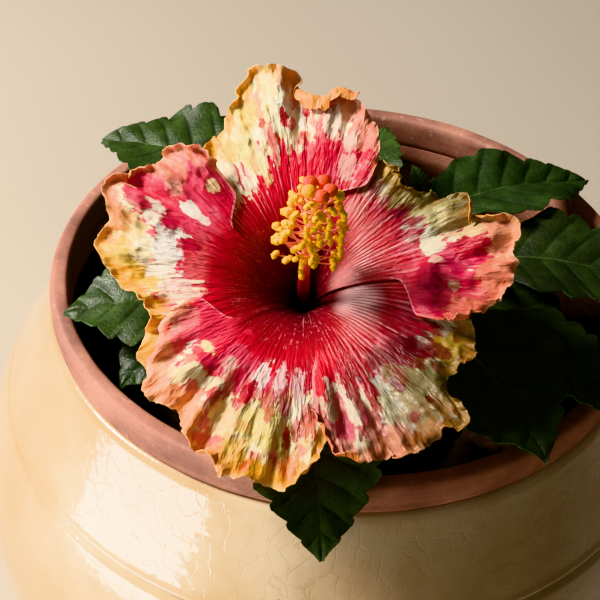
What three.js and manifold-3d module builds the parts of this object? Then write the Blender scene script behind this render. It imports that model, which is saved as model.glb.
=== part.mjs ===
// A potted hibiscus: a young shrub with one large five-petalled bloom in a round glazed crock.
// Millimetres, +Z up. The origin is the centre of the pot's flat underside; the front is -Y.

import * as THREE from "three";
import { mergeVertices } from "three/addons/utils/BufferGeometryUtils.js";
import Module from "manifold-3d";

const wasm = await Module();
wasm.setup();

const GAP = 0.3; // clearance between neighbouring solids
const FINEST_EDGE = 0.02; // shorter edges, left by joining, are merged away
const RAD = Math.PI / 180;
const UP = new THREE.Vector3(0, 0, 1);

// Pot
const POT_HEIGHT = 250;
const RIM_RADIUS = 125; // outside of the mouth band
const RIM_HEIGHT = 15;
const RIM_INNER_RADIUS = 116.5;
const RIM_ROUNDING = 3;
const NECK_RADIUS = 124.5; // where the shoulder starts, under the band
const SHOULDER_SLOPE = 0.43;
const SHOULDER_CURVE = 0.0011;
const GROOVE_DROP = 60; // incised line round the shoulder, below the rim's top
const BELLY_RADIUS = 160;
const BELLY_DROP = 115; // widest point
const FOOT_RADIUS = 100;
const FOOT_STEP = 6;
const GROOVE_SIZE = 1.4;
const WALL = 9;
const FLOOR = 14;
const SOIL_DROP = 48; // soil level, below the rim's top
const SOIL_CLEARANCE = 2; // between the soil and the wall
const POT_SIDES = 42;

// Trunk and boughs
const SOIL_TOP = POT_HEIGHT - SOIL_DROP;
const TRUNK_RADIUS = 7;
const TRUNK_TOP_RADIUS = 5.4;
const TRUNK_FLARE = 5.5;
const TRUNK_HEIGHT = 36;
const TRUNK_LEAN = 5;
const TRUNK_FOOT = new THREE.Vector3(1, -6, SOIL_TOP - 4);
const FORK_LEVELS = [0.86, 0.62]; // where boughs leave the trunk, in turn, as shares of its height
const BOUGH_SHARE = 0.55; // how much of the reach to a shoot's tip its bough takes
const BOUGH_START_DROP = 20; // below the rim's top
const BOUGH_RADIUS = 2.6;
const SHOOT_RADIUS = 2; // where a bough ends and its shoot begins
const SHOOT_TIP_RADIUS = 1.2;
const PETIOLE_RADIUS = 1.15;
const PETIOLE_SINK = 4; // how far a leaf's stalk runs into its blade

// Leaves
const LEAF_THICKNESS = 1;
const LEAF_STEPS = 9;
const LOW_LEAF = { turn: 23, reach: 90, height: -27, length: 46, width: 32 }; // one on each shoot
const LEAF_TEETH = 0.09; // how deep the margin's teeth are cut, as a share of its half width
const TOOTHED_FROM = 0.2; // share of the length where the teeth begin
const LEAF_FOLD = 0.16; // how far the two halves of a blade rise from its midrib
const LEAF_END_HALF_WIDTH = 0.8;

// Bloom
const BLOOM_CENTRE = new THREE.Vector3(-15, -65, POT_HEIGHT + 45); // middle of the throat's mouth
const BLOOM_TILT = 60 * RAD; // how far the bloom's axis rises above level, towards the front
const PETAL_THICKNESS = 1.1;
const PETAL_START = 6.5; // distance of a petal's root from the axis
const THROAT_DEPTH = 18;
const THROAT_FALL = 9; // how quickly the throat opens
const PETAL_LIFT = 17; // how far the open corolla rises towards the front
const PETAL_REFLEX = 6; // how far the margins bend back again
const REFLEX_START = 55;
const RUFFLE_START = 22;
const FULL_RADIUS = 85; // the bloom's own radius, to which the waves grow
const RUFFLE = 3.4;
const OVERLAP_STEP = 1.7; // each petal lies this far over one neighbour and under the other

// Each petal runs from its upper edge, which lies on its neighbour, round to its hidden edge, in
// degrees; its margin is given as radii evenly spaced between the two.
const PETALS = [
  { name: "petal_top", from: 62, to: 140, margin: [50, 72, 77, 86, 81, 66, 58] },
  { name: "petal_left", from: 133, to: 208, margin: [60, 71, 80, 77, 73, 60, 52] },
  { name: "petal_lower_left", from: 198, to: 290, margin: [54, 67, 72, 77, 82, 77, 62] },
  { name: "petal_lower_right", from: 279, to: 355, margin: [57, 71, 78, 78, 67, 66, 56] },
  { name: "petal_right", from: 343, to: 427, margin: [58, 74, 78, 69, 58, 54, 46] },
];

// Column of stamens
const COLUMN_RADIUS = 2.6;
const COLUMN_TIP_RADIUS = 1.3;
const COLUMN_LENGTH = 61;
const COLUMN_RISE = 15; // how far it curves up from the bloom's axis
const STAMENS = 26;
const STAMEN_ZONE = [0.42, 0.96]; // the stretch of the column that bears them
const FILAMENT_LENGTH = 7;
const FILAMENT_SWELL = 4.5; // how much longer the middle filaments are
const FILAMENT_LEAN = 4; // how far a filament leans towards the column's tip
const FILAMENT_RADIUS = 0.45;
const ANTHER_RADIUS = 1.5;
const STIGMA_PADS = 5;
const STIGMA_RADIUS = 2.2;
const STIGMA_SPREAD = 4.6;
const STIGMA_ARM_RADIUS = 0.6;
const STYLE_LENGTH = 2.5;

// Calyx and stalk
const SEPALS = 5;
const SEPAL_LENGTH = 17; // how far the longest reach out from the petals' roots
const SEPAL_THICKNESS = 1.4;
const SEPAL_CLEARANCE = 0.8;
const CALYX_DEPTH = 16; // of the solid cup behind the petals' roots
const STALK_RADIUS = 3;
const STALK_TIP_RADIUS = 2.2;

// Shoots, by the bearing of their stem round the plant. A leaf is given by the bearing, the reach
// and the height above the rim of its tip, the heading and rise of its midrib, its length and
// width, how far it rolls towards its left, and how far it arches.
const SHOOTS = [
  {
    name: "shoot_back_left",
    bearing: 140,
    reach: 50,
    height: 6,
    leaves: [
      { tip: [153, 128, 14], heading: 160, rise: -4, length: 82, width: 56, roll: 4, arch: 0.07 },
      { tip: [142, 104, -16], heading: 150, rise: -10, length: 62, width: 40, roll: 0, arch: 0.1 },
    ],
  },
  {
    name: "shoot_back",
    bearing: 98,
    reach: 50,
    height: 8,
    leaves: [
      { tip: [103, 120, 6], heading: 98, rise: -4, length: 70, width: 46, roll: 0, arch: 0.12 },
      { tip: [88, 102, -12], heading: 80, rise: -8, length: 60, width: 40, roll: 0, arch: 0.12 },
      { tip: [116, 98, -20], heading: 122, rise: -10, length: 56, width: 38, roll: 0, arch: 0.1 },
    ],
  },
  {
    name: "shoot_crown",
    lone: true, // stands over the other shoots, with no low leaf
    bearing: 84,
    reach: 30,
    height: 20,
    leaves: [
      { tip: [77, 57, 36], heading: 72, rise: 20, length: 46, width: 32, roll: 0, arch: 0.12 },
      { tip: [148, 58, 29], heading: 152, rise: 12, length: 46, width: 30, roll: 5, arch: 0.1 },
      { tip: [112, 63, 47], heading: 110, rise: 30, length: 48, width: 30, roll: -5, arch: 0.12 },
    ],
  },
  {
    name: "shoot_back_right",
    bearing: 48,
    reach: 50,
    height: 6,
    leaves: [
      { tip: [32, 125, 6], heading: 30, rise: -6, length: 84, width: 46, roll: 0, arch: 0.07 },
      { tip: [55, 102, -18], heading: 52, rise: -8, length: 58, width: 40, roll: 0, arch: 0.1 },
    ],
  },
  {
    name: "shoot_right",
    bearing: 0,
    reach: 52,
    height: 2,
    leaves: [
      { tip: [359, 132, 3], heading: 354, rise: -4, length: 72, width: 54, roll: 0, arch: 0.08 },
      { tip: [338, 106, -10], heading: 330, rise: -8, length: 62, width: 44, roll: 0, arch: 0.1 },
      { tip: [19, 104, -8], heading: 34, rise: -4, length: 56, width: 38, roll: 0, arch: 0.1 },
    ],
  },
  {
    name: "shoot_front_right",
    bearing: 316,
    reach: 52,
    height: -4,
    leaves: [
      { tip: [307, 133, 4], heading: 303, rise: -4, length: 80, width: 66, roll: 0, arch: 0.08 },
      { tip: [324, 132, 3], heading: 322, rise: -4, length: 66, width: 46, roll: 0, arch: 0.08 },
      { tip: [291, 111, -12], heading: 282, rise: -8, length: 54, width: 36, roll: 0, arch: 0.1 },
    ],
  },
  {
    name: "shoot_front",
    bearing: 268,
    reach: 58,
    height: -10,
    leaves: [
      { tip: [270, 143, -20], heading: 283, rise: -28, length: 68, width: 58, roll: 0, arch: 0.16 },
      { tip: [256, 106, -12], heading: 252, rise: -6, length: 52, width: 36, roll: 0, arch: 0.1 },
    ],
  },
  {
    name: "shoot_front_left",
    bearing: 232,
    reach: 50,
    height: -6,
    leaves: [
      { tip: [238, 108, -8], heading: 242, rise: -6, length: 64, width: 44, roll: 0, arch: 0.1 },
      { tip: [221, 112, -10], heading: 232, rise: -8, length: 60, width: 44, roll: 0, arch: 0.1 },
    ],
  },
  {
    name: "shoot_left",
    bearing: 190,
    reach: 50,
    height: 2,
    leaves: [
      { tip: [205, 122, 8], heading: 186, rise: -4, length: 76, width: 54, roll: 10, arch: 0.08 },
      { tip: [176, 104, -12], heading: 170, rise: -8, length: 60, width: 42, roll: 0, arch: 0.1 },
    ],
  },
];

/** Merge a geometry's coincident vertices and drop the triangles that this makes flat. */
function weld(geometry) {
  const bare = geometry.clone();
  bare.deleteAttribute("normal");
  bare.deleteAttribute("uv");
  const merged = mergeVertices(bare, 1e-4);
  const index = Array.from(merged.index.array);
  const kept = [];
  for (let i = 0; i < index.length; i += 3) {
    const [a, b, c] = index.slice(i, i + 3);
    if (a !== b && b !== c && c !== a) {
      kept.push(a, b, c);
    }
  }
  merged.setIndex(kept);
  return merged;
}

/** The closed geometry as a solid, with its faces turned outwards. */
function solid(geometry) {
  const merged = weld(geometry);
  const triangles = new Uint32Array(merged.index.array);
  const build = () =>
    new wasm.Manifold(
      new wasm.Mesh({
        numProp: 3,
        vertProperties: new Float32Array(merged.attributes.position.array),
        triVerts: triangles,
      }),
    );
  const made = build();
  if (made.volume() > 0) {
    return made;
  }
  for (let i = 0; i < triangles.length; i += 3) {
    [triangles[i + 1], triangles[i + 2]] = [triangles[i + 2], triangles[i + 1]];
  }
  return build();
}

/** A solid's surface as a three.js geometry with flat faces and no slivers. */
function geometryOf(shape) {
  const mesh = shape.simplify(FINEST_EDGE).getMesh();
  const positions = [];
  for (let i = 0; i < mesh.vertProperties.length; i += mesh.numProp) {
    positions.push(...mesh.vertProperties.slice(i, i + 3));
  }
  const geometry = new THREE.BufferGeometry();
  geometry.setAttribute("position", new THREE.Float32BufferAttribute(positions, 3));
  geometry.setIndex(Array.from(mesh.triVerts));
  const flat = geometry.toNonIndexed();
  flat.computeVertexNormals();
  return flat;
}

/** Join solids into one. */
function fuse(shapes) {
  return shapes.reduce((whole, shape) => whole.add(shape));
}

/** Move each vertex of a geometry to place(x, y, z). */
function mapped(geometry, place) {
  const positions = geometry.attributes.position;
  for (let i = 0; i < positions.count; i += 1) {
    const point = place(positions.getX(i), positions.getY(i), positions.getZ(i));
    positions.setXYZ(i, point.x, point.y, point.z);
  }
  return geometry;
}

/** A round limb of the given radius along a curve, with flat ends. */
function limb(curve, radiusAt, sides = 6, steps = 4) {
  const tube = new THREE.CylinderGeometry(1, 1, 1, sides, steps);
  return mapped(tube, (x, y, z) => {
    const share = y + 0.5;
    const along = curve.getTangent(share);
    const side = new THREE.Vector3().crossVectors(along, sideways(along)).normalize();
    const other = new THREE.Vector3().crossVectors(along, side);
    const radius = radiusAt(share);
    return curve
      .getPoint(share)
      .addScaledVector(side, x * radius)
      .addScaledVector(other, z * radius);
  });
}

/** An axis that a direction is well clear of. */
function sideways(direction) {
  return Math.abs(direction.z) > 0.8 ? new THREE.Vector3(0, 1, 0) : UP;
}

/** A thin closed blade: point(u, v) for u and v from 0 to 1, thickened along its own normal. */
function blade(point, thickness, across, along) {
  const step = 0.01;
  const plate = new THREE.BoxGeometry(1, 1, 1, across, along, 1);
  return mapped(plate, (x, y, z) => {
    const u = x + 0.5;
    const v = y + 0.5;
    const alongU = point(u + step, v).sub(point(u - step, v));
    const alongV = point(u, v + step).sub(point(u, v - step));
    const normal = alongU.cross(alongV).normalize();
    return point(u, v).addScaledVector(normal, z * thickness);
  });
}

/** A place round the plant: a bearing from +X, a distance from the middle, a height over the rim. */
function around(bearing, reach, height) {
  const angle = bearing * RAD;
  const x = reach * Math.cos(angle);
  const y = reach * Math.sin(angle);
  return new THREE.Vector3(x, y, POT_HEIGHT + height);
}

/** The unit direction with a bearing and a rise, both in degrees. */
function heading(bearing, rise) {
  const level = Math.cos(rise * RAD);
  const x = Math.cos(bearing * RAD) * level;
  const y = Math.sin(bearing * RAD) * level;
  return new THREE.Vector3(x, y, Math.sin(rise * RAD));
}

/** A turned shape from its profile, whose points are [radius, height]. */
function turned(profile) {
  const points = profile.map(([radius, height]) => new THREE.Vector2(radius, height));
  return solid(new THREE.LatheGeometry(points, POT_SIDES).rotateX(Math.PI / 2));
}

/** Radius of the pot's shoulder at a drop below the rim's top. */
function shoulderRadius(drop) {
  const down = drop - RIM_HEIGHT;
  return NECK_RADIUS + SHOULDER_SLOPE * down + SHOULDER_CURVE * down * down;
}

/** Radius of the pot's outer wall at a height: its shoulder, its belly and its lower wall. */
function potRadius(height) {
  const drop = POT_HEIGHT - height;
  if (drop < GROOVE_DROP) {
    return shoulderRadius(drop);
  }
  if (drop < BELLY_DROP) {
    const share = (BELLY_DROP - drop) / (BELLY_DROP - GROOVE_DROP);
    return BELLY_RADIUS - (BELLY_RADIUS - shoulderRadius(GROOVE_DROP)) * share * share;
  }
  const share = (drop - BELLY_DROP) / (POT_HEIGHT - FOOT_STEP - BELLY_DROP);
  return FOOT_RADIUS + (BELLY_RADIUS - FOOT_RADIUS) * Math.pow(Math.cos((share * Math.PI) / 2), 0.85);
}

/** The pot's wall at evenly spaced heights, as [radius, height], set in by some thickness. */
function wallPoints(from, to, steps, thickness) {
  return Array.from({ length: steps + 1 }, (_, i) => {
    const height = THREE.MathUtils.lerp(from, to, i / steps);
    return [potRadius(height) - thickness, height];
  });
}

/** The glazed body of the pot, with its foot, its incised line and its filled inside. */
function potBody() {
  const neck = POT_HEIGHT - RIM_HEIGHT - GAP;
  const groove = POT_HEIGHT - GROOVE_DROP;
  const mouth = RIM_INNER_RADIUS + 0.5;
  return turned([
    [0, 0],
    [FOOT_RADIUS - 2, 0],
    [FOOT_RADIUS - 1, FOOT_STEP / 2],
    ...wallPoints(FOOT_STEP, groove - GROOVE_SIZE, 10, 0),
    [potRadius(groove) - GROOVE_SIZE, groove],
    ...wallPoints(groove + GROOVE_SIZE, neck, 3, 0),
    [mouth, neck],
    [mouth, neck - 8],
    ...wallPoints(SOIL_TOP, FLOOR + 12, 5, WALL),
    [FOOT_RADIUS - WALL, FLOOR],
    [0, FLOOR],
  ]);
}

/** The unglazed band round the mouth, with rounded edges. */
function potRim() {
  const top = POT_HEIGHT;
  const bottom = POT_HEIGHT - RIM_HEIGHT;
  const round = RIM_ROUNDING;
  const cut = round * (1 - Math.SQRT1_2); // where the rounding is at 45 degrees
  return turned([
    [RIM_INNER_RADIUS, bottom],
    [RIM_RADIUS - 1, bottom],
    [RIM_RADIUS, bottom + 1.5],
    [RIM_RADIUS, top - round],
    [RIM_RADIUS - cut, top - cut],
    [RIM_RADIUS - round, top],
    [RIM_INNER_RADIUS + round, top],
    [RIM_INNER_RADIUS + cut, top - cut],
    [RIM_INNER_RADIUS, top - round],
    [RIM_INNER_RADIUS, bottom],
  ]);
}

/** The soil that fills the pot, a little domed towards its middle. */
function soil() {
  const clear = WALL + SOIL_CLEARANCE;
  return turned([
    [0, FLOOR + GAP],
    [FOOT_RADIUS - clear, FLOOR + GAP],
    ...wallPoints(FLOOR + 12, SOIL_TOP - 8, 5, clear),
    [potRadius(SOIL_TOP) - clear - 2, SOIL_TOP - 4],
    [70, SOIL_TOP - 1.5],
    [24, SOIL_TOP],
    [0, SOIL_TOP],
  ]);
}

/** The trunk's middle line, from its foot to its fork. */
function trunkCurve() {
  const foot = TRUNK_FOOT.clone();
  const knee = foot.clone().add(new THREE.Vector3(-1, 1, TRUNK_HEIGHT / 2));
  const fork = foot.clone().add(new THREE.Vector3(-TRUNK_LEAN, TRUNK_LEAN / 2, TRUNK_HEIGHT));
  return new THREE.QuadraticBezierCurve3(foot, knee, fork);
}

/** The trunk, flared at the soil; grown makes it thicker all over, to cut clearances with. */
function trunk(grown = 0) {
  const taper = (share) => {
    const straight = THREE.MathUtils.lerp(TRUNK_RADIUS, TRUNK_TOP_RADIUS, share);
    return straight + TRUNK_FLARE * Math.exp(-share * 7) + grown;
  };
  const ground = new THREE.BoxGeometry(60, 60, 40).translate(0, 0, SOIL_TOP + GAP - 20);
  return solid(limb(trunkCurve(), taper, 10, 8)).subtract(solid(ground));
}

/** Where a shoot takes over from its bough. */
function shootStart(shoot) {
  const height = THREE.MathUtils.lerp(-BOUGH_START_DROP, shoot.height, 0.4);
  return around(shoot.bearing, shoot.reach * BOUGH_SHARE, height);
}

/** One bough, from the trunk's side to the start of its shoot. */
function bough(shoot, rank) {
  const root = trunkCurve().getPoint(FORK_LEVELS[rank % 2]);
  const tip = shootStart(shoot);
  const middle = root.clone().lerp(tip, 0.5);
  middle.z -= 2;
  const curve = new THREE.QuadraticBezierCurve3(root, middle, tip);
  const taper = (share) => THREE.MathUtils.lerp(BOUGH_RADIUS, SHOOT_RADIUS, share);
  return solid(limb(curve, taper)).subtract(trunk(GAP));
}

/** Half the width of a leaf at a share of its length, with the teeth of its margin. */
function leafHalfWidth(share, width, tooth) {
  const outline = Math.pow(Math.sin(Math.PI * Math.pow(share, 0.78)), 0.9);
  const teeth = share > TOOTHED_FROM ? 1 + LEAF_TEETH * tooth : 1;
  return Math.max(LEAF_END_HALF_WIDTH, (width / 2) * outline * teeth);
}

/** A leaf's frame: its root, the way its midrib runs, its face's direction and its left side. */
function leafFrame(leaf) {
  const along = heading(leaf.heading, leaf.rise);
  const tip = around(...leaf.tip);
  const root = tip.clone().addScaledVector(along, -leaf.length);
  const left = new THREE.Vector3().crossVectors(UP, along).normalize();
  left.applyAxisAngle(along, -leaf.roll * RAD);
  const face = new THREE.Vector3().crossVectors(along, left);
  return { root, along, left, face };
}

/** A leaf's blade: folded along its midrib, arched along its length and toothed at its margin. */
function leafBlade(leaf) {
  const { root, along, left, face } = leafFrame(leaf);
  const place = (u, v) => {
    const share = THREE.MathUtils.clamp(v, 0.004, 0.996);
    const tooth = Math.cos(v * LEAF_STEPS * Math.PI);
    const half = leafHalfWidth(share, leaf.width, tooth);
    const side = u * 2 - 1;
    const lift = LEAF_FOLD * Math.abs(side) * half + leaf.length * leaf.arch * 4 * v * (1 - v);
    return root
      .clone()
      .addScaledVector(along, v * leaf.length)
      .addScaledVector(left, side * half)
      .addScaledVector(face, lift);
  };
  return solid(blade(place, LEAF_THICKNESS, 2, LEAF_STEPS));
}

/** The stalk of a leaf, from its shoot's stem to just inside its blade. */
function petiole(leaf, start) {
  const { root, along, face } = leafFrame(leaf);
  const end = root
    .clone()
    .addScaledVector(along, PETIOLE_SINK)
    .addScaledVector(face, leaf.length * leaf.arch * 0.15);
  const reach = start.distanceTo(end);
  const before = root.clone().addScaledVector(along, -reach * 0.35);
  const leaving = start.clone().lerp(before, 0.4);
  leaving.z += reach * 0.08;
  const curve = new THREE.CubicBezierCurve3(start, leaving, before, end);
  return solid(limb(curve, () => PETIOLE_RADIUS, 4, 3));
}

/** The stem of a shoot, from its bough's tip outwards. */
function shootCurve(shoot) {
  const start = shootStart(shoot);
  const tip = around(shoot.bearing, shoot.reach, shoot.height);
  const outwards = tip.clone().sub(start).normalize();
  start.addScaledVector(outwards, GAP + 0.6);
  const middle = start.clone().lerp(tip, 0.5);
  middle.z -= 1.5;
  return new THREE.QuadraticBezierCurve3(start, middle, tip);
}

/** A whole shoot: its stem with each leaf fused on by its stalk. */
function shootMass(shoot) {
  const curve = shootCurve(shoot);
  const taper = (share) => THREE.MathUtils.lerp(SHOOT_RADIUS, SHOOT_TIP_RADIUS, share);
  const pieces = [solid(limb(curve, taper, 6, 3))];
  const leaves = shoot.lone ? shoot.leaves : [...shoot.leaves, lowLeaf(shoot)];
  leaves.forEach((leaf, rank) => {
    const node = curve.getPoint(0.96 - (0.86 * rank) / leaves.length);
    pieces.push(petiole(leaf, node));
    pieces.push(leafBlade(leaf));
  });
  return fuse(pieces);
}

/** The leaf that hangs low beside a shoot, inside the pot's mouth. */
function lowLeaf(shoot) {
  const bearing = shoot.bearing + LOW_LEAF.turn;
  return {
    ...LOW_LEAF,
    tip: [bearing, LOW_LEAF.reach, LOW_LEAF.height],
    heading: bearing - 4,
    rise: -10,
    roll: 0,
    arch: 0.1,
  };
}

/** The bloom's axes: to its right, up its face, and out along its axis. */
function bloomAxes() {
  const right = new THREE.Vector3(1, 0, 0);
  const axis = new THREE.Vector3(0, -Math.cos(BLOOM_TILT), Math.sin(BLOOM_TILT));
  const up = new THREE.Vector3().crossVectors(axis, right);
  return { right, up, axis };
}

/** A point given in the bloom's own axes. */
function inBloom(x, y, z) {
  const { right, up, axis } = bloomAxes();
  return BLOOM_CENTRE.clone()
    .addScaledVector(right, x)
    .addScaledVector(up, y)
    .addScaledVector(axis, z);
}

/** Height of the open corolla over its throat's mouth, at a distance from the bloom's axis. */
function corollaHeight(radius) {
  const throat = -THROAT_DEPTH * Math.exp((PETAL_START - radius) / THROAT_FALL);
  const bend = Math.max(0, radius - REFLEX_START) / 30;
  return throat + (PETAL_LIFT * radius) / 80 - PETAL_REFLEX * bend * bend;
}

/** The waves that all petals share, growing towards their margins. */
function ruffle(angle, radius) {
  const growth = RUFFLE * THREE.MathUtils.smoothstep(radius, RUFFLE_START, FULL_RADIUS);
  return growth * (0.62 * Math.sin(7 * angle + 1.1) + 0.5 * Math.sin(12 * angle + radius / 16));
}

/** A point of the corolla, raised over its shared surface along that surface's normal. */
function corollaPoint(angle, radius, raised) {
  const slope = (corollaHeight(radius + 0.1) - corollaHeight(radius - 0.1)) / 0.2;
  const size = Math.hypot(slope, 1);
  const out = radius - (raised * slope) / size;
  const height = corollaHeight(radius) + raised / size;
  return inBloom(out * Math.cos(angle), out * Math.sin(angle), height);
}

/** A smooth reading between evenly spaced values, for a share from 0 to 1. */
function marginAt(values, share) {
  const last = values.length - 1;
  const place = THREE.MathUtils.clamp(share, 0, 1) * last;
  const start = Math.min(Math.floor(place), last - 1);
  const part = place - start;
  const [a, b, c, d] = [-1, 0, 1, 2].map((step) => values[THREE.MathUtils.clamp(start + step, 0, last)]);
  const bend = 2 * a - 5 * b + 4 * c - d + part * (3 * (b - c) + d - a);
  return b + 0.5 * part * (c - a + part * bend);
}

/** One petal: a ruffled blade that lies over one neighbour and under the other. */
function petal(shape) {
  const place = (u, v) => {
    const turn = u * 2 - 1;
    const angle = THREE.MathUtils.lerp(shape.from, shape.to, u) * RAD;
    const radius = THREE.MathUtils.lerp(PETAL_START, marginAt(shape.margin, u), v);
    const raised = ruffle(angle, radius) - turn * OVERLAP_STEP;
    return corollaPoint(angle, radius, raised);
  };
  return solid(blade(place, PETAL_THICKNESS, 11, 9));
}

/** The column's middle line, curving up out of the throat. */
function columnCurve() {
  const foot = inBloom(0, 0, corollaHeight(PETAL_START) - 1);
  const middle = inBloom(-1, 1, COLUMN_LENGTH * 0.25);
  const tip = inBloom(3, COLUMN_RISE, COLUMN_LENGTH + corollaHeight(PETAL_START));
  return new THREE.QuadraticBezierCurve3(foot, middle, tip);
}

/** The column with its stamens, which stand out of its outer half in a spiral. */
function column() {
  const curve = columnCurve();
  const taper = (share) => THREE.MathUtils.lerp(COLUMN_RADIUS, COLUMN_TIP_RADIUS, share);
  const pieces = [solid(limb(curve, taper, 8, 8))];
  const golden = Math.PI * (3 - Math.sqrt(5));
  for (let i = 0; i < STAMENS; i += 1) {
    const rank = (i + 0.5) / STAMENS;
    const share = THREE.MathUtils.lerp(STAMEN_ZONE[0], STAMEN_ZONE[1], rank);
    const root = curve.getPoint(share);
    const along = curve.getTangent(share);
    const side = new THREE.Vector3(1, 0, 0).applyAxisAngle(along, i * golden);
    const length = FILAMENT_LENGTH + FILAMENT_SWELL * Math.sin(Math.PI * (0.25 + 0.6 * rank));
    const tip = root.clone().addScaledVector(side, length).addScaledVector(along, FILAMENT_LEAN);
    const thread = new THREE.LineCurve3(root, tip);
    pieces.push(solid(limb(thread, () => FILAMENT_RADIUS, 3, 1)));
    const anther = new THREE.OctahedronGeometry(ANTHER_RADIUS).translate(tip.x, tip.y, tip.z);
    pieces.push(solid(anther));
  }
  return fuse(pieces);
}

/** The stigma: five round pads on short arms, just beyond the column's tip. */
function stigma() {
  const curve = columnCurve();
  const along = curve.getTangent(1);
  const foot = curve.getPoint(1).addScaledVector(along, GAP);
  const hub = foot.clone().addScaledVector(along, STYLE_LENGTH);
  const pieces = [solid(limb(new THREE.LineCurve3(foot, hub), () => COLUMN_TIP_RADIUS, 6, 1))];
  for (let i = 0; i < STIGMA_PADS; i += 1) {
    const side = new THREE.Vector3(1, 0, 0).applyAxisAngle(along, (i / STIGMA_PADS) * 2 * Math.PI);
    const pad = hub.clone().addScaledVector(side, STIGMA_SPREAD).addScaledVector(along, 3.5);
    const arm = new THREE.LineCurve3(foot.clone().addScaledVector(along, 1), pad);
    pieces.push(solid(limb(arm, () => STIGMA_ARM_RADIUS, 4, 1)));
    pieces.push(solid(new THREE.IcosahedronGeometry(STIGMA_RADIUS).translate(pad.x, pad.y, pad.z)));
  }
  return fuse(pieces);
}

/** The calyx: a five-lobed cup round the petals' roots, closed at its foot. */
function calyx() {
  const inner = OVERLAP_STEP + PETAL_THICKNESS / 2 + SEPAL_CLEARANCE;
  const outer = inner + SEPAL_THICKNESS;
  const bottom = corollaHeight(PETAL_START) - CALYX_DEPTH;
  const waist = PETAL_START + outer - 1;
  const cup = new THREE.CylinderGeometry(1, 1, 1, 6 * SEPALS, 10);
  return solid(
    mapped(cup, (x, y, z) => {
      const angle = Math.atan2(z, x);
      const lobe = 0.55 + 0.45 * Math.abs(Math.cos((angle * SEPALS) / 2 + 0.6));
      const mouth = PETAL_START + SEPAL_LENGTH * lobe;
      const share = y + 0.5;
      if (Math.hypot(x, z) < 0.5) {
        return inBloom(0, 0, share < 0.5 ? bottom : bottom + CALYX_DEPTH * 0.4);
      }
      if (share < 0.45) {
        const low = share / 0.45;
        const radius = THREE.MathUtils.lerp(STALK_RADIUS, waist, Math.sqrt(low));
        const height = bottom + CALYX_DEPTH * 0.8 * low;
        return inBloom(radius * Math.cos(angle), radius * Math.sin(angle), height);
      }
      if (share < 0.75) {
        const radius = THREE.MathUtils.lerp(PETAL_START, mouth, (share - 0.4) / 0.3);
        return corollaPoint(angle, radius, -outer);
      }
      const radius = THREE.MathUtils.lerp(mouth, PETAL_START, (share - 0.8) / 0.2);
      return corollaPoint(angle, radius, -inner);
    }),
  );
}

/** The bloom's stalk, from the trunk's fork to the calyx. */
function stalk() {
  const { axis } = bloomAxes();
  const rising = trunkCurve().getTangent(1);
  const start = trunkCurve().getPoint(1).addScaledVector(rising, GAP);
  const end = inBloom(0, 0, corollaHeight(PETAL_START) - CALYX_DEPTH - GAP);
  const before = end.clone().addScaledVector(axis, -18);
  const after = start.clone().addScaledVector(rising, 14);
  const curve = new THREE.CubicBezierCurve3(start, after, before, end);
  return solid(limb(curve, (share) => THREE.MathUtils.lerp(STALK_RADIUS, STALK_TIP_RADIUS, share), 8, 6));
}

const group = new THREE.Group();

/** Add a named sub-part in its own colour. */
function add(name, shape, color, roughness) {
  const material = new THREE.MeshStandardMaterial({ color, roughness, metalness: 0 });
  const mesh = new THREE.Mesh(geometryOf(shape), material);
  mesh.name = name;
  group.add(mesh);
}

add("pot_body", potBody(), 0xd9c59a, 0.15);
add("pot_rim", potRim(), 0xa8725c, 0.8);
add("soil", soil(), 0x3a2a20, 0.95);
add("trunk", trunk(), 0x6d5a45, 0.85);
SHOOTS.forEach((shoot, rank) => {
  add(shoot.name.replace("shoot", "bough"), bough(shoot, rank), 0x66603f, 0.7);
  add(shoot.name, shootMass(shoot), 0x1f4a2c, 0.35);
});
add("flower_stalk", stalk(), 0x567036, 0.5);
add("calyx", calyx(), 0x5f8040, 0.5);
for (const shape of PETALS) {
  add(shape.name, petal(shape), 0xd9506a, 0.45);
}
add("stamen_column", column(), 0xe8a23c, 0.55);
add("stigma", stigma(), 0xe2562f, 0.6);

export default group;
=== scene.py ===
"""Looks of a young hibiscus in a round glazed crock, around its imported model.

Lengths are in millimetres and angles in degrees until a mesh is made, in metres.
The plant grows by the same rules as its solids, carried finer.
"""

import itertools
import math
from types import SimpleNamespace

import bpy
import numpy as np
from mathutils import Matrix, Vector


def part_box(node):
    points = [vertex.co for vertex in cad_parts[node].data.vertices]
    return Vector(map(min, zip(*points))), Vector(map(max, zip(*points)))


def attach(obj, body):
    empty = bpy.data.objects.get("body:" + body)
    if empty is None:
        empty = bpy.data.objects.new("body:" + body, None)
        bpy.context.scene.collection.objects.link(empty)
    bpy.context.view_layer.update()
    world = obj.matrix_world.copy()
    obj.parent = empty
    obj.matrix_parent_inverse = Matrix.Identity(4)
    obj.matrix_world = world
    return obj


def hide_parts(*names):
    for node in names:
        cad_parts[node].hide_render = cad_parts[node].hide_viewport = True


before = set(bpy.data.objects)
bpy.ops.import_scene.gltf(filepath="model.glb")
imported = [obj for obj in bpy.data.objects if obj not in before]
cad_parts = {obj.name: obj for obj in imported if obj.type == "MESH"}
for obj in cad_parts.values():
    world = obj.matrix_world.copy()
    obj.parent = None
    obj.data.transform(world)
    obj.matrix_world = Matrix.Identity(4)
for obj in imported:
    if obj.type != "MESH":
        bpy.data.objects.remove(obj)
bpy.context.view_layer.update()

MM = 0.001
FINE = 1.0  # how finely the big meshes are cut
RANDOM = np.random.default_rng(11)
RIGHT = np.array([1.0, 0.0, 0.0])
UP = np.array([0.0, 0.0, 1.0])
ASKEW = np.array([0.31, 0.87, 0.38])  # a direction that no limb starts along

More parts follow.
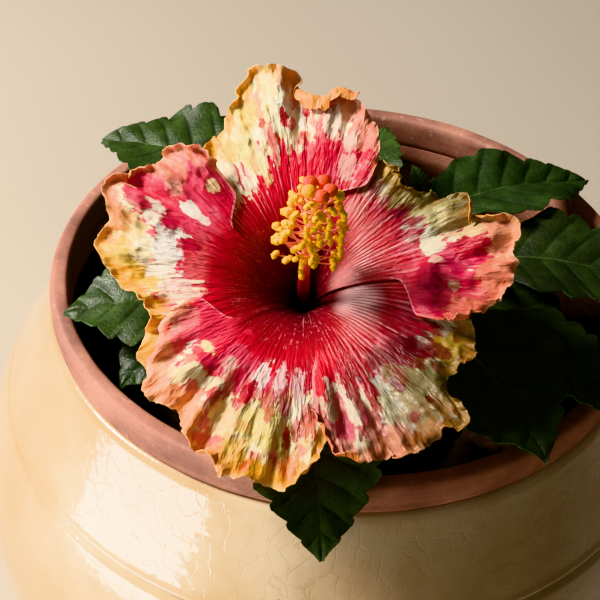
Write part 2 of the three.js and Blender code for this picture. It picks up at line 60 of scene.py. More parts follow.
# Pot, in the source's own sizes
POT_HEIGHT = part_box("pot_rim")[1][2] / MM
RIM_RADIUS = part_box("pot_rim")[1][0] / MM
RIM_HEIGHT = 15
RIM_INNER_RADIUS = 116.5
NECK_RADIUS = 124.5
SHOULDER_SLOPE = 0.43
SHOULDER_CURVE = 0.0011
GROOVE_DROP = 60
GROOVE_SIZE = 1.3
BELLY_RADIUS = 160
BELLY_DROP = 115
FOOT_RADIUS = 100
FOOT_STEP = 6
WALL = 9
FLOOR = 14
SOIL_DROP = 48
POT_SEGMENTS = int(240 * FINE)
CRUMBS = 340

# Trunk, boughs and shoots
SOIL_TOP = POT_HEIGHT - SOIL_DROP
TRUNK_RADIUS = 7
TRUNK_TOP_RADIUS = 5.4
TRUNK_FLARE = 5.5
TRUNK_HEIGHT = 36
TRUNK_LEAN = 5
TRUNK_FOOT = np.array([1.0, -6.0, SOIL_TOP - 4])
FORK_LEVELS = (0.86, 0.62)
BOUGH_SHARE = 0.55
BOUGH_START_DROP = 20
BOUGH_RADIUS = 2.6
SHOOT_RADIUS = 2.0
SHOOT_TIP_RADIUS = 1.2
PETIOLE_RADIUS = 1.15
PETIOLE_SINK = 4

# Leaves
LEAF_THICKNESS = 0.5
LEAF_FOLD = 0.16
LEAF_TEETH = 0.13
LEAF_VEINS = 7  # side veins on each side of the midrib
LEAF_SKEW = 0.55  # how far forward a side vein runs
LEAF_ENDS = (0.004, 0.996)
FULL_LEAF = 70  # length at which a leaf's relief is life size
LOW_LEAF_TURN = 23
LOW_LEAF_TIP = (90, -27)  # its reach, and its height over the rim
LOW_LEAF_SIZE = (46, 32)
MARGIN_POWERS = (0.78, 0.9)  # how low its widest place lies, and how full its outline is

# Bloom
BLOOM_CENTRE = np.array([-15.0, -65.0, POT_HEIGHT + 45])
BLOOM_TILT = math.radians(60)
BLOOM_RIGHT = RIGHT
BLOOM_AXIS = np.array([0.0, -math.cos(BLOOM_TILT), math.sin(BLOOM_TILT)])
BLOOM_UP = np.cross(BLOOM_AXIS, BLOOM_RIGHT)
PETAL_THICKNESS = 0.55
PETAL_START = 6.5
THROAT_DEPTH = 18
THROAT_FALL = 9
PETAL_LIFT = 17
PETAL_REFLEX = 6
REFLEX_START = 55
RUFFLE_START = 22
FULL_RADIUS = 85
RUFFLE = 3.4
OVERLAP_STEP = 1.7
COLUMN_RADIUS = 2.6
COLUMN_TIP_RADIUS = 1.3
COLUMN_LENGTH = 61
COLUMN_RISE = 15
STAMENS = 78
STAMEN_ZONE = (0.47, 0.97)
STIGMA_PADS = 5
CALYX_DEPTH = 16
SEPAL_LENGTH = 17
BRACTS = 7


# ------------------------------------------------------------------ small maths


def unit(vectors):
    """Vectors of length one."""
    return vectors / np.linalg.norm(vectors, axis=-1, keepdims=True)


def lerp(a, b, share):
    return a + (b - a) * share


def smooth(value, low, high):
    """A smooth step from 0 at low to 1 at high."""
    share = np.clip((np.asarray(value, float) - low) / (high - low), 0, 1)
    return share * share * (3 - 2 * share)


def bell(value, width):
    """1 at zero, falling off on both sides."""
    return np.exp(-((value / width) ** 2))


def full_turn(count):
    """The angles of places round a circle, in radians."""
    return np.linspace(0, 2 * math.pi, count, endpoint=False)


def polar(radius, angle, *height):
    """Points from a radius and an angle in radians, flat or at a height."""
    return np.stack([radius * np.cos(angle), radius * np.sin(angle), *height], axis=-1)


def bezier(points, steps):
    """Points along a Bezier curve, steps + 1 of them."""
    share = np.linspace(0, 1, steps + 1)[:, None]
    level = [np.asarray(point, float)[None, :] for point in points]
    while len(level) > 1:
        level = [lerp(a, b, share) for a, b in zip(level, level[1:])]
    return level[0]


def heading(bearing, rise):
    """The unit direction with a bearing from +X and a rise."""
    turn, tilt = math.radians(bearing), math.radians(rise)
    flat = math.cos(tilt)
    return np.array([math.cos(turn) * flat, math.sin(turn) * flat, math.sin(tilt)])


def around(bearing, reach, height):
    """A place round the plant, its height given over the rim."""
    return heading(bearing, 0) * reach + UP * (POT_HEIGHT + height)


def turn_about(vector, axis, angle):
    """A vector turned about a unit axis."""
    swung = vector * math.cos(angle) + np.cross(axis, vector) * math.sin(angle)
    return swung + axis * (axis @ vector) * (1 - math.cos(angle))


def square_to(axis):
    """The unit direction square to an axis that lies nearest to +X."""
    return unit(RIGHT - axis * axis[0])


def noise(points, seed=0):
    """Smooth noise from -1 to 1 at an array of points."""
    points = np.asarray(points, float)
    cell = np.floor(points).astype(np.int64)
    part = points - cell
    fade = part * part * part * (part * (part * 6 - 15) + 10)
    total = np.zeros(points.shape[:-1])
    for corner in itertools.product((0, 1), repeat=points.shape[-1]):
        step = np.array(corner)
        keys = (cell + step) @ np.array([374761393, 668265263, 1440662683][: len(corner)])
        keys = (keys + seed * 974634777) & 0xFFFFFFFF
        keys = ((keys ^ (keys >> 13)) * 1274126177) & 0xFFFFFFFF
        keys = ((keys ^ (keys >> 16)) * 461845907) & 0xFFFFFFFF
        value = ((keys ^ (keys >> 15)) & 0xFFFFFF) / 0x7FFFFF - 1
        total += value * np.prod(np.where(step == 1, fade, 1 - fade), axis=-1)
    return total


def layered(points, layers=3, seed=0):
    """Noise with finer noise laid over it."""
    points = np.asarray(points, float)
    return sum(noise(points * 2**k, seed + k) / 2**k for k in range(layers))


def rgb(code):
    """Linear red, green and blue from a hexadecimal colour."""
    values = np.array([int(code[k : k + 2], 16) for k in (1, 3, 5)]) / 255
    return np.where(values <= 0.04045, values / 12.92, ((values + 0.055) / 1.055) ** 2.4)


def over(base, colour, amount):
    """A colour laid over others, by an amount from 0 to 1 at each."""
    colour = rgb(colour) if isinstance(colour, str) else colour
    return base + (colour - base) * np.clip(amount, 0, 1)[..., None]


def ramp(value, stops):
    """Colours read off (value, colour) stops."""
    places = [place for place, _ in stops]
    colours = np.array([rgb(code) for _, code in stops])
    return np.stack([np.interp(value, places, colours[:, k]) for k in range(3)], axis=-1)


# ------------------------------------------------------------------ mesh helpers


def grid_faces(rows, columns, closed=False):
    """Quads of a grid of points stored row by row; closed joins the last column to the first."""
    across = columns if closed else columns - 1
    row, column = np.meshgrid(np.arange(rows - 1), np.arange(across), indexing="ij")
    beside = (column + 1) % columns
    corners = [(row, column), (row, beside), (row + 1, beside), (row + 1, column)]
    return np.stack([down * columns + along for down, along in corners], axis=-1).reshape(-1, 4)


def capped_faces(rings, sides):
    """Faces round rings of points that are followed by one point for each end."""
    faces = [tuple(quad) for quad in grid_faces(rings, sides, closed=True)]
    first, last = rings * sides, rings * sides + 1
    for k in range(sides):
        after = (k + 1) % sides
        faces.append((first, after, k))
        faces.append((last, first - sides + k, first - sides + after))
    return faces


def part(points, faces, paint=0, tints=None):
    """A closed shape turned outwards; paint is its faces' material index, tints its points' layers."""
    points = np.asarray(points, float).reshape(-1, 3)
    faces = [tuple(face) for face in faces]
    paint = [int(paint)] * len(faces) if np.isscalar(paint) else [int(index) for index in paint]
    fans = [(face[0], face[k], face[k + 1]) for face in faces for k in range(1, len(face) - 1)]
    a, b, c = (points[[fan[k] for fan in fans]] for k in range(3))
    if np.einsum("ij,ij->i", a, np.cross(b, c)).sum() < 0:
        faces = [face[::-1] for face in faces]
    return dict(points=points, faces=faces, paint=paint, tints=tints)


def tube(path, radii, sides=8, relief=None, paint=0, tint=None):
    """A round limb along a path, with closed ends. relief(angle, share) is added to its radius."""
    count = len(path)
    along = unit(np.gradient(path, axis=0))
    side = unit(np.cross(along[0], ASKEW))
    angle = full_turn(sides)
    share = np.linspace(0, 1, count)
    radii = np.broadcast_to(np.asarray(radii, float), (count,))
    rings = []
    for k in range(count):
        side = unit(side - along[k] * (side @ along[k]))
        other = np.cross(along[k], side)
        radius = radii[k] + (relief(angle, share[k]) if relief else 0 * angle)
        around_path = np.cos(angle)[:, None] * side + np.sin(angle)[:, None] * other
        rings.append(path[k] + radius[:, None] * around_path)
    points = np.concatenate(rings + [path[:1], path[-1:]])
    if tint is not None:
        tint = dict(tint=np.concatenate([np.repeat(tint, sides, axis=0), tint[:1], tint[-1:]]))
    return part(points, capped_faces(count, sides), paint, tint)


def surface_normals(grid):
    """Unit normals of a grid of points."""
    return unit(np.cross(np.gradient(grid, axis=1), np.gradient(grid, axis=0)))


def sheet(grid, thickness, paint=(0, 0), tints=None, back_tints=None):
    """A thin closed sheet with a grid of points as its middle surface."""
    rows, columns = grid.shape[:2]
    lift = surface_normals(grid) * (thickness / 2)[..., None]
    points = np.concatenate([(grid + lift).reshape(-1, 3), (grid - lift).reshape(-1, 3)])
    face = grid_faces(rows, columns)
    behind = face[:, ::-1] + rows * columns
    index = np.arange(rows * columns).reshape(rows, columns)
    border = np.concatenate([index[0, :-1], index[:-1, -1], index[-1, :0:-1], index[:0:-1, 0]])
    after = np.roll(border, -1)
    rim = np.stack([after, border, border + rows * columns, after + rows * columns], axis=-1)
    front_paint = np.broadcast_to(paint[0], (len(face),))
    back_paint = np.full(len(behind) + len(rim), paint[1])
    if tints is not None:
        both = {name: (tints[name], back_tints[name]) for name in tints}
        tints = {name: np.concatenate(pair).reshape(-1, 3) for name, pair in both.items()}
    faces = np.concatenate([face, behind, rim])
    return part(points, faces, np.concatenate([front_paint, back_paint]), tints)


def turned(profile, segments, relief):
    """Points and faces of a turned shape, from [radius, height] points that run axis to axis."""
    profile = np.asarray(profile, float)
    ring = profile[1:-1]
    angle = full_turn(segments)
    radius = np.repeat(ring[:, :1], segments, axis=1)
    height = np.repeat(ring[:, 1:], segments, axis=1)
    radius, height = relief(radius, height, angle[None, :])
    poles = [[0, 0, profile[0][1]], [0, 0, profile[-1][1]]]
    points = np.concatenate([polar(radius, angle, height).reshape(-1, 3), poles])
    return points, capped_faces(len(ring), segments)


def ball(centre, radii, rings, segments, rough, axes, seed, paint=0):
    """A lump with a radius along each of its own axes; rough roughens it."""
    tilt = np.linspace(0, math.pi, rings + 1)[1:-1, None]
    angle = full_turn(segments)
    out = np.sin(tilt)
    rounds = [np.cos(tilt) + 0 * angle, out * np.cos(angle), out * np.sin(angle)]
    points = np.stack(rounds, axis=-1).reshape(-1, 3)
    points = np.concatenate([points, [[1.0, 0, 0], [-1.0, 0, 0]]])
    points = points * (1 + rough * noise(points * 3.1 + seed * 7.7, seed)[:, None])
    points = (points * np.asarray(radii, float)) @ axes + centre
    return part(points, capped_faces(rings - 1, segments), paint)


def mesh_piece(name, parts, materials, replaces=(), crease=60):
    """One smooth-shaded piece of the object from closed parts, riding on the object's body."""
    points = np.concatenate([shape["points"] for shape in parts]) * MM
    faces, paint, start = [], [], 0
    for shape in parts:
        faces.extend(tuple(index + start for index in face) for face in shape["faces"])
        paint.extend(shape["paint"])
        start += len(shape["points"])
    mesh = bpy.data.meshes.new(name)
    mesh.from_pydata(points.tolist(), [], faces)
    mesh.polygons.foreach_set("material_index", paint)
    for material in materials:
        mesh.materials.append(material)
    for key in parts[0]["tints"] or ():
        values = np.concatenate([shape["tints"][key] for shape in parts])
        values = np.concatenate([values, np.ones((len(values), 1))], axis=1)
        layer = mesh.color_attributes.new(key, "FLOAT_COLOR", "POINT")
        layer.data.foreach_set("color", values.ravel())
    mesh.update()
    mesh.shade_smooth()
    mesh.set_sharp_from_angle(angle=math.radians(crease))
    piece = bpy.data.objects.new(name, mesh)
    bpy.context.scene.collection.objects.link(piece)
    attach(piece, "root")
    if replaces:
        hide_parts(*replaces)


# ------------------------------------------------------------------ materials

OWN_SCALE = 1 / MM  # the noise size that leaves a fanned place's marks at their own size
DEGREES = 57.3  # in a radian


class Shader:
    """A material's node tree, built a node at a time; every method gives an output socket."""

    def __init__(self, name):
        self.material = bpy.data.materials.new(name)
        self.material.use_nodes = True
        self.tree = self.material.node_tree
        self.surface = self.tree.nodes["Principled BSDF"]
        place = self.tree.nodes.new("ShaderNodeTexCoord")
        self.place = place.outputs["Object"]

    def fill(self, socket, value):
        """Link a socket, or set it to a colour or a number."""
        if isinstance(value, bpy.types.NodeSocket):
            self.tree.links.new(value, socket)
        elif isinstance(value, str):
            socket.default_value = (*rgb(value), 1)
        else:
            socket.default_value = value

    def node(self, kind, inputs, **settings):
        made = self.tree.nodes.new(kind)
        for key, value in settings.items():
            setattr(made, key, value)
        for key, value in inputs.items():
            self.fill(made.inputs[key], value)
        return made

    def scaled(self, x, y, z):
        """The object's own place with each axis scaled, for stretched patterns."""
        inputs = {"Vector": self.place, "Scale": (x, y, z)}
        return self.node("ShaderNodeMapping", inputs).outputs["Vector"]

    def noise(self, size, detail=4, roughness=0.55, place=None, distortion=0.0):
        """Noise whose features are about size millimetres."""
        inputs = {
            "Vector": place or self.place,
            "Scale": 1 / (size * MM),
            "Detail": detail,
            "Roughness": roughness,
            "Distortion": distortion,
        }
        return self.node("ShaderNodeTexNoise", inputs).outputs["Fac"]

    def cells(self, size, feature="F1", place=None):
        """Distances in a cell pattern of about size millimetres."""
        inputs = {"Vector": place or self.place, "Scale": 1 / (size * MM)}
        return self.node("ShaderNodeTexVoronoi", inputs, feature=feature).outputs["Distance"]

    def ramp(self, value, stops, interpolation="LINEAR"):
        """Colours or greys read off stops; a number stands for a grey."""
        made = self.node("ShaderNodeValToRGB", {"Fac": value})
        ramp = made.color_ramp
        ramp.interpolation = interpolation
        while len(ramp.elements) < len(stops):
            ramp.elements.new(0.5)
        for element, (place, colour) in zip(ramp.elements, stops):
            element.position = place
            element.color = (*(rgb(colour) if isinstance(colour, str) else (colour,) * 3), 1)
        return made.outputs["Color"]

    def shades(self, value, places, colours):
        """A ramp through three colours."""
        return self.ramp(value, list(zip(places, colours)))

    def mix(self, amount, first, second, blend="MIX"):
        """One colour over another."""
        inputs = {0: amount, 6: first, 7: second}
        return self.node("ShaderNodeMix", inputs, data_type="RGBA", blend_type=blend).outputs[2]

    def sums(self, operation, first, second=0):
        return self.node("ShaderNodeMath", {0: first, 1: second}, operation=operation).outputs[0]

    def times(self, first, second):
        return self.sums("MULTIPLY", first, second)

    def vector(self, operation, inputs, output=0):
        return self.node("ShaderNodeVectorMath", inputs, operation=operation).outputs[output]

    def attribute(self, name):
        return self.node("ShaderNodeAttribute", {}, attribute_name=name).outputs["Color"]

    def numbers(self, name):
        """The three numbers painted as one layer."""
        layer = self.node("ShaderNodeAttribute", {}, attribute_name=name).outputs["Vector"]
        split = self.node("ShaderNodeSeparateXYZ", {0: layer}).outputs
        return split[0], split[1], split[2]

    def swing(self, value, amount):
        """A noise's value turned to one about zero."""
        inputs = {0: value, 1: amount, 2: -0.5 * amount}
        return self.node("ShaderNodeMath", inputs, operation="MULTIPLY_ADD").outputs[0]

    def step(self, value, low, high):
        """A smooth step from 0 at low to 1 at high."""
        inputs = {"Value": value, "From Min": low, "From Max": high}
        return self.node("ShaderNodeMapRange", inputs, interpolation_type="SMOOTHSTEP").outputs[0]

    def bump(self, height, depth, strength=1.0, under=None):
        """Relief of depth millimetres."""
        inputs = {"Height": height, "Distance": depth * MM, "Strength": strength}
        if under is not None:
            inputs["Normal"] = under
        return self.node("ShaderNodeBump", inputs).outputs["Normal"]

    def set(self, **values):
        """Set the surface's sockets; underscores stand for spaces."""
        for key, value in values.items():
            self.fill(self.surface.inputs[key.replace("_", " ")], value)
        return self.material


def glaze_material():
    """Cream crackle glaze: clear gloss over a warm cream, with pits and tea-coloured crackle lines."""
    shader = Shader("cream_glaze")
    cloud = shader.noise(55, 3)
    ground = shader.shades(cloud, (0.3, 0.5, 0.7), ("#ac8e66", "#c0a580", "#d0bc9e"))
    wander = shader.noise(7, 2)
    place = shader.mix(0.006, shader.scaled(1.0, 1.0, 0.7), wander, "ADD")
    cracks = shader.cells(8.5, "DISTANCE_TO_EDGE", place)
    line = shader.ramp(cracks, [(0.0, 1.0), (0.014, 0.7), (0.034, 0.0)])
    patchy = shader.ramp(shader.noise(45, 2), [(0.4, 0.15), (0.62, 1.0)])
    ground = shader.mix(shader.times(shader.times(line, patchy), 0.3), ground, "#a2835a")
    pits = shader.ramp(shader.cells(11), [(0.0, 1.0), (0.045, 1.0), (0.07, 0.0)])
    rare = shader.ramp(shader.noise(24, 1), [(0.55, 0.0), (0.6, 1.0)])
    pit = shader.times(pits, rare)
    ground = shader.mix(shader.times(pit, 0.7), ground, "#8b6a3e")
    height = shader.sums("ADD", pit, shader.times(line, 0.2))
    relief = shader.bump(height, -0.25, 0.6)
    relief = shader.bump(shader.noise(24, 3), 1.1, 0.5, relief)
    return shader.set(
        Base_Color=ground,
        Roughness=shader.ramp(shader.noise(30, 4), [(0.35, 0.16), (0.7, 0.27)]),
        Normal=relief,
        Coat_Normal=relief,
        IOR=1.52,
        Coat_Weight=1.0,
        Coat_Roughness=0.06,
        Coat_IOR=1.6,
    )


def terracotta_material():
    """Unglazed pinkish-brown fired clay, mottled and a little worn."""
    shader = Shader("bare_clay")
    mottle = shader.noise(26, 5, 0.6)
    stops = [(0.34, "#65403a"), (0.46, "#885a4d"), (0.56, "#9e6d5c"), (0.68, "#b58673")]
    bands = shader.noise(4, 3, 0.6, shader.scaled(0.08, 0.08, 1.0))
    bands = shader.ramp(bands, [(0.3, "#82564a"), (0.7, "#b58372")])
    colour = shader.mix(0.35, shader.ramp(mottle, stops), bands)
    specks = shader.ramp(shader.noise(1.2, 3), [(0.3, 1.0), (0.38, 0.0)])
    colour = shader.mix(shader.times(specks, 0.5), colour, "#54362d")
    dust = shader.ramp(shader.noise(3.5, 4), [(0.62, 0.0), (0.75, 1.0)])
    colour = shader.mix(shader.times(dust, 0.4), colour, "#d9b7a4")
    grain = shader.bump(shader.noise(0.9, 4), 0.18, 0.7)
    rings = shader.noise(5, 3, 0.6, shader.scaled(0.1, 0.1, 1.0))
    grain = shader.bump(rings, 0.25, 0.6, grain)
    roughness = shader.ramp(mottle, [(0.3, 0.62), (0.7, 0.8)])
    return shader.set(Base_Color=colour, Roughness=roughness, Normal=grain)


def soil_material(name, dark, light):
    """Damp potting compost."""
    shader = Shader(name)
    colour = shader.shades(shader.noise(3, 6, 0.65), (0.3, 0.55, 0.8), (dark, light, "#4b3524"))
    relief = shader.bump(shader.noise(1.1, 5, 0.65), 0.6, 0.9)
    return shader.set(Base_Color=colour, Roughness=0.92, Normal=relief)


def bark_material():
    """Grey-brown bark, furrowed lengthwise, with a green cast where it is young."""
    shader = Shader("grey_bark")
    furrows = shader.noise(1.6, 5, 0.6, shader.scaled(1.0, 1.0, 0.3))
    colour = shader.shades(furrows, (0.3, 0.5, 0.7), ("#3a2d1f", "#6a563d", "#8d7a5c"))
    green = shader.ramp(shader.noise(14, 3), [(0.45, 0.0), (0.7, 0.6)])
    colour = shader.mix(green, colour, "#5b6138")
    relief = shader.bump(furrows, 0.5, 0.9)
    return shader.set(Base_Color=colour, Roughness=0.85, Normal=relief)


def stem_material(name, colours, roughness=0.5):
    """A green young stem with fine lengthwise streaks."""
    shader = Shader(name)
    streaks = shader.noise(1.4, 4, 0.6, shader.scaled(1.0, 1.0, 0.35))
    colour = shader.shades(streaks, (0.3, 0.55, 0.75), colours)
    relief = shader.bump(shader.noise(0.5, 3), 0.1, 0.5)
    return shader.set(Base_Color=colour, Roughness=roughness, Normal=relief, Subsurface_Weight=0.05)


def leaf_material(name, colours, roughness):
    """A leathery blade, puckered between fine veins, which take the last of its four colours."""
    shader = Shader(name)
    colour = shader.shades(shader.noise(9, 4), (0.3, 0.5, 0.72), colours[:3])
    net = shader.cells(2.4, "DISTANCE_TO_EDGE")
    lines = shader.ramp(net, [(0.0, 1.0), (0.09, 0.0)])
    colour = shader.mix(shader.times(lines, 0.14), colour, colours[3])
    relief = shader.bump(shader.ramp(net, [(0.0, 0.0), (0.22, 1.0)], "EASE"), 0.16, 0.5)
    relief = shader.bump(shader.noise(0.5, 3), 0.05, 0.4, relief)
    gloss = shader.ramp(shader.noise(6, 3), [(0.35, roughness - 0.06), (0.7, roughness + 0.1)])
    return shader.set(Base_Color=colour, Roughness=gloss, Normal=relief, Specular_IOR_Level=0.3)


def fanned(shader, wide, long):
    """A place for marks that fan out from the bloom's middle, wide degrees by long millimetres."""
    centre = tuple(float(value) * -MM for value in BLOOM_CENTRE)
    offset = shader.vector("ADD", {0: shader.place, 1: centre})
    axes = [tuple(float(value) for value in axis) for axis in (BLOOM_RIGHT, BLOOM_UP)]
    x, y = (shader.vector("DOT_PRODUCT", {0: offset, 1: axis}, "Value") for axis in axes)
    flat = shader.node("ShaderNodeCombineXYZ", {"X": x, "Y": y}).outputs[0]
    way = shader.vector("NORMALIZE", {0: flat})
    reach = shader.times(shader.vector("LENGTH", {0: flat}, "Value"), 1 / (long * MM))
    turned_way = shader.vector("SCALE", {0: way, "Scale": DEGREES / wide})
    out = shader.node("ShaderNodeCombineXYZ", {"Z": reach}).outputs[0]
    return shader.vector("ADD", {0: turned_way, 1: out})


def crumpled(shader, creases, fans, creased):
    """A petal's relief: creases and crumples that fan out, by how creased each place is."""
    relief = shader.bump(shader.times(creases, creased), 1.3, 0.7)
    relief = shader.bump(shader.times(fans, creased), 0.35, 0.35, relief)
    relief = shader.bump(shader.noise(0.6, 4, 0.6), 0.08, 0.5, relief)
    folded = shader.noise(OWN_SCALE, 2, 0.5, fanned(shader, 4.5, 10), 0.5)
    crumple = shader.sums("ABSOLUTE", shader.swing(folded, 1.0))
    return shader.bump(shader.times(crumple, creased), -2.4, 0.8, relief)


def petal_material():
    """A petal's painted layers, each within a ragged edge over the last, and its creases, in relief and as
    painted shade and light.
    """
    shader = Shader("petal_tissue")
    fans = shader.noise(OWN_SCALE, 4, 0.65, fanned(shader, 0.8, 3.5))
    dapple = shader.noise(1.4, 4, 0.65)
    feather = shader.noise(OWN_SCALE, 2, 0.6, fanned(shader, 1.6, 11))
    ragged = shader.sums("ADD", shader.swing(fans, 1.9), shader.swing(dapple, 1.9))
    ragged = shader.sums("ADD", ragged, shader.swing(feather, 2.0))

    def inside(depth, raggedness, softness):
        edge = shader.sums("ADD", depth, shader.times(ragged, raggedness))
        return shader.step(edge, -softness, softness)

    pale, wash, spot = shader.numbers("depths")
    rim, fleck, creased = shader.numbers("edges")
    course, line, dark = shader.numbers("veins")
    pale = inside(pale, 5.0, 1.0)
    colour = shader.mix(pale, shader.attribute("ground"), shader.attribute("cream"))
    flecks = shader.times(inside(fleck, 0.45, 0.08), pale)
    colour = shader.mix(shader.times(flecks, 0.9), colour, shader.attribute("fleck"))
    wander = shader.sums("ADD", course, shader.swing(fans, 0.9))
    for trace, edge, amount, strength, tone in (
        ("SINE", 0.93, line, 0.65, "#fbd3d2"),
        ("COSINE", 0.84, dark, 0.85, "#5c0210"),
    ):
        vein = shader.step(shader.sums("ABSOLUTE", shader.sums(trace, wander)), edge, 1.0)
        colour = shader.mix(shader.times(shader.times(vein, amount), strength), colour, tone)
    colour = shader.mix(inside(wash, 0.55, 0.16), colour, shader.attribute("wash"))
    colour = shader.mix(inside(spot, 0.6, 0.12), colour, shader.attribute("spot"))
    rim = shader.times(inside(rim, 3.5, 2.4), 0.88)
    colour = shader.mix(rim, colour, shader.attribute("rim"))
    # Painted shade and light along the creases, overlaid on the colours where the petal is creased.
    creases = shader.noise(OWN_SCALE, 3, 0.6, fanned(shader, 1.5, 9))
    shading = shader.ramp(creases, [(0.3, 0.34), (0.7, 0.66)])
    colour = shader.mix(shader.times(creased, 0.3), colour, shading, "OVERLAY")
    return shader.set(
        Base_Color=colour,
        Roughness=shader.ramp(shader.noise(4, 3), [(0.35, 0.36), (0.7, 0.52)]),
        Normal=crumpled(shader, creases, fans, creased),
        Subsurface_Weight=0.12,
        Subsurface_Radius=(1.0, 0.35, 0.2),
        Subsurface_Scale=0.0012,
        Specular_IOR_Level=0.3,
    )


def column_material():
    """The stamen column in its own painted tints, with a fine grain."""
    shader = Shader("stamen_column")
    grain = shader.ramp(shader.noise(0.8, 3), [(0.3, 0.3), (0.7, 0.72)])
    colour = shader.mix(0.25, shader.attribute("tint"), grain, "OVERLAY")
    relief = shader.bump(shader.noise(0.8, 4), 0.08, 0.6)
    return shader.set(Base_Color=colour, Roughness=0.45, Normal=relief, Subsurface_Weight=0.1)


def grainy_material(name, colours, grain, depth, roughness):
    """Pollen or papillae: a mealy surface in close shades."""
    shader = Shader(name)
    colour = shader.shades(shader.noise(grain, 4, 0.6), (0.3, 0.5, 0.7), colours)
    relief = shader.bump(shader.cells(grain), depth, 0.8)
    return shader.set(Base_Color=colour, Roughness=roughness, Normal=relief, Subsurface_Weight=0.08)


GLAZE = glaze_material()
CLAY = terracotta_material()
SOIL = soil_material("potting_soil", "#120b07", "#2a1b12")
CHIPS = soil_material("bark_chips", "#2a1a10", "#4a3020")
BARK = bark_material()
SHOOT_BARK = stem_material("young_bark", ("#33401f", "#55602f", "#7b7846"))
PETIOLE = stem_material("leaf_stalks", ("#2f4a1f", "#4d6b2e", "#77883f"))
STALK = stem_material("bloom_stalk", ("#3d5a25", "#5b7a35", "#86a052"))
SEPALS = stem_material("sepals", ("#46632b", "#6b8a40", "#93ab5c"))
# Near-black maroon: the throat's dark red deepened as painted shade at the bottom of the throat.
SHADED_THROAT_FLOOR = stem_material("throat_floor_painted_shade", ("#140003", "#230005", "#36020a"))
# Leaf tones stand partly for light: the deep one is painted shade on the right-hand and low leaves, the
# fresh one is young growth and also painted light on lit leaves and the front one.
LEAF_SHADED_DEEP = leaf_material("leaf_deep_painted_shade", ("#192014", "#212a19", "#2e3a21", "#405031"), 0.45)
LEAF_MID = leaf_material("leaf_mid", ("#172313", "#21301a", "#2f4224", "#445736"), 0.46)
LEAF_FRESH_AND_LIT = leaf_material("leaf_fresh_and_lit", ("#1e2b14", "#2a3a1c", "#394e27", "#52693d"), 0.5)
LEAF_UNDER = leaf_material("leaf_underside", ("#2f4630", "#3d573c", "#4f6a4c", "#6d8766"), 0.6)
LEAF_VEIN = leaf_material("leaf_veins", ("#2f3c22", "#3d4c2e", "#52643e", "#64764e"), 0.5)
LEAF_TONES = [LEAF_SHADED_DEEP, LEAF_MID, LEAF_FRESH_AND_LIT, LEAF_UNDER, LEAF_VEIN, LEAF_MID]
UNDERSIDE, MIDRIB, SIDE_VEIN = 3, 4, 5  # places among those tones
PETAL = petal_material()
COLUMN = column_material()
FILAMENT = stem_material("filaments", ("#d9705c", "#e88f78", "#f2ad95"), 0.45)
ANTHER = grainy_material("pollen", ("#f5b000", "#ffc400", "#ffd52a"), 0.35, 0.15, 0.7)
STIGMA = grainy_material("stigma_pads", ("#d03400", "#ea4c00", "#f66a0e"), 0.45, 0.25, 0.75)
DUSTED_COLOURS = ("#e08a12", "#f2a51c", "#f9c234")
STIGMA_POLLEN = grainy_material("pollen_on_pad", DUSTED_COLOURS, 0.45, 0.25, 0.75)


# ------------------------------------------------------------------ pot and soil


def shoulder_radius(drop):
    down = drop - RIM_HEIGHT
    return NECK_RADIUS + SHOULDER_SLOPE * down + SHOULDER_CURVE * down * down


def pot_radius(height):
    """Radius of the pot's outer wall at a height."""
    drop = POT_HEIGHT - height
    if drop < GROOVE_DROP:
        return shoulder_radius(drop)
    if drop < BELLY_DROP:
        share = (BELLY_DROP - drop) / (BELLY_DROP - GROOVE_DROP)
        return BELLY_RADIUS - (BELLY_RADIUS - shoulder_radius(GROOVE_DROP)) * share * share
    share = (drop - BELLY_DROP) / (POT_HEIGHT - FOOT_STEP - BELLY_DROP)
    fall = max(0.0, math.cos(share * math.pi / 2)) ** 0.85
    return FOOT_RADIUS + (BELLY_RADIUS - FOOT_RADIUS) * fall


def wall_points(low, high, steps, inset):
    return [[pot_radius(height) - inset, height] for height in np.linspace(low, high, steps + 1)]


def uneven(radius, height, angle):
    """The crock's wall as thrown, a little out of round above its foot."""
    place = polar(1.6 + 0 * height, angle, height / 45)
    return radius + 0.45 * noise(place, 3) * smooth(height, 4, 30), height


def make_crock():
    """The glazed body, with a groove round its shoulder and a bare foot."""
    neck = POT_HEIGHT - RIM_HEIGHT - 0.3
    groove = POT_HEIGHT - GROOVE_DROP
    mouth = RIM_INNER_RADIUS + 0.5
    outside = []
    whole, fine = np.linspace(FOOT_STEP, neck - 1.2, 81), np.linspace(groove - 5, groove + 6, 23)
    for height in np.union1d(whole, fine):
        notch = GROOVE_SIZE * math.exp(-(((height - groove) / 1.0) ** 2))
        ridge = 0.35 * math.exp(-(((height - groove - 2.4) / 1.3) ** 2))
        outside.append([pot_radius(height) - notch + ridge, height])
    foot = [[0, 2.5]]
    for inset, height in (
        (16, 2.2), (12, 0.4), (10, 0), (4, 0), (2.4, 0.5), (1.6, FOOT_STEP * 0.4), (1.0, FOOT_STEP * 0.8),
    ):
        foot.append([FOOT_RADIUS - inset, height])
    lip = [[NECK_RADIUS - 0.4, neck - 0.3], [NECK_RADIUS - 1.4, neck], [mouth, neck]]
    wall = wall_points(SOIL_TOP, FLOOR + 12, 14, WALL)
    inside = [[mouth - 0.4, neck - 3], [mouth, neck - 8], *wall, [FOOT_RADIUS - WALL, FLOOR]]
    points, faces = turned([*foot, *outside, *lip, *inside, [0, FLOOR]], POT_SEGMENTS, uneven)
    paint = np.ones(len(faces), int)
    first_row, last_row = len(foot) - 2, len(foot) + len(outside)
    paint[first_row * POT_SEGMENTS : last_row * POT_SEGMENTS] = 0
    mesh_piece("pot_crock", [part(points, faces, paint)], [GLAZE, CLAY], ["pot_body"], 50)


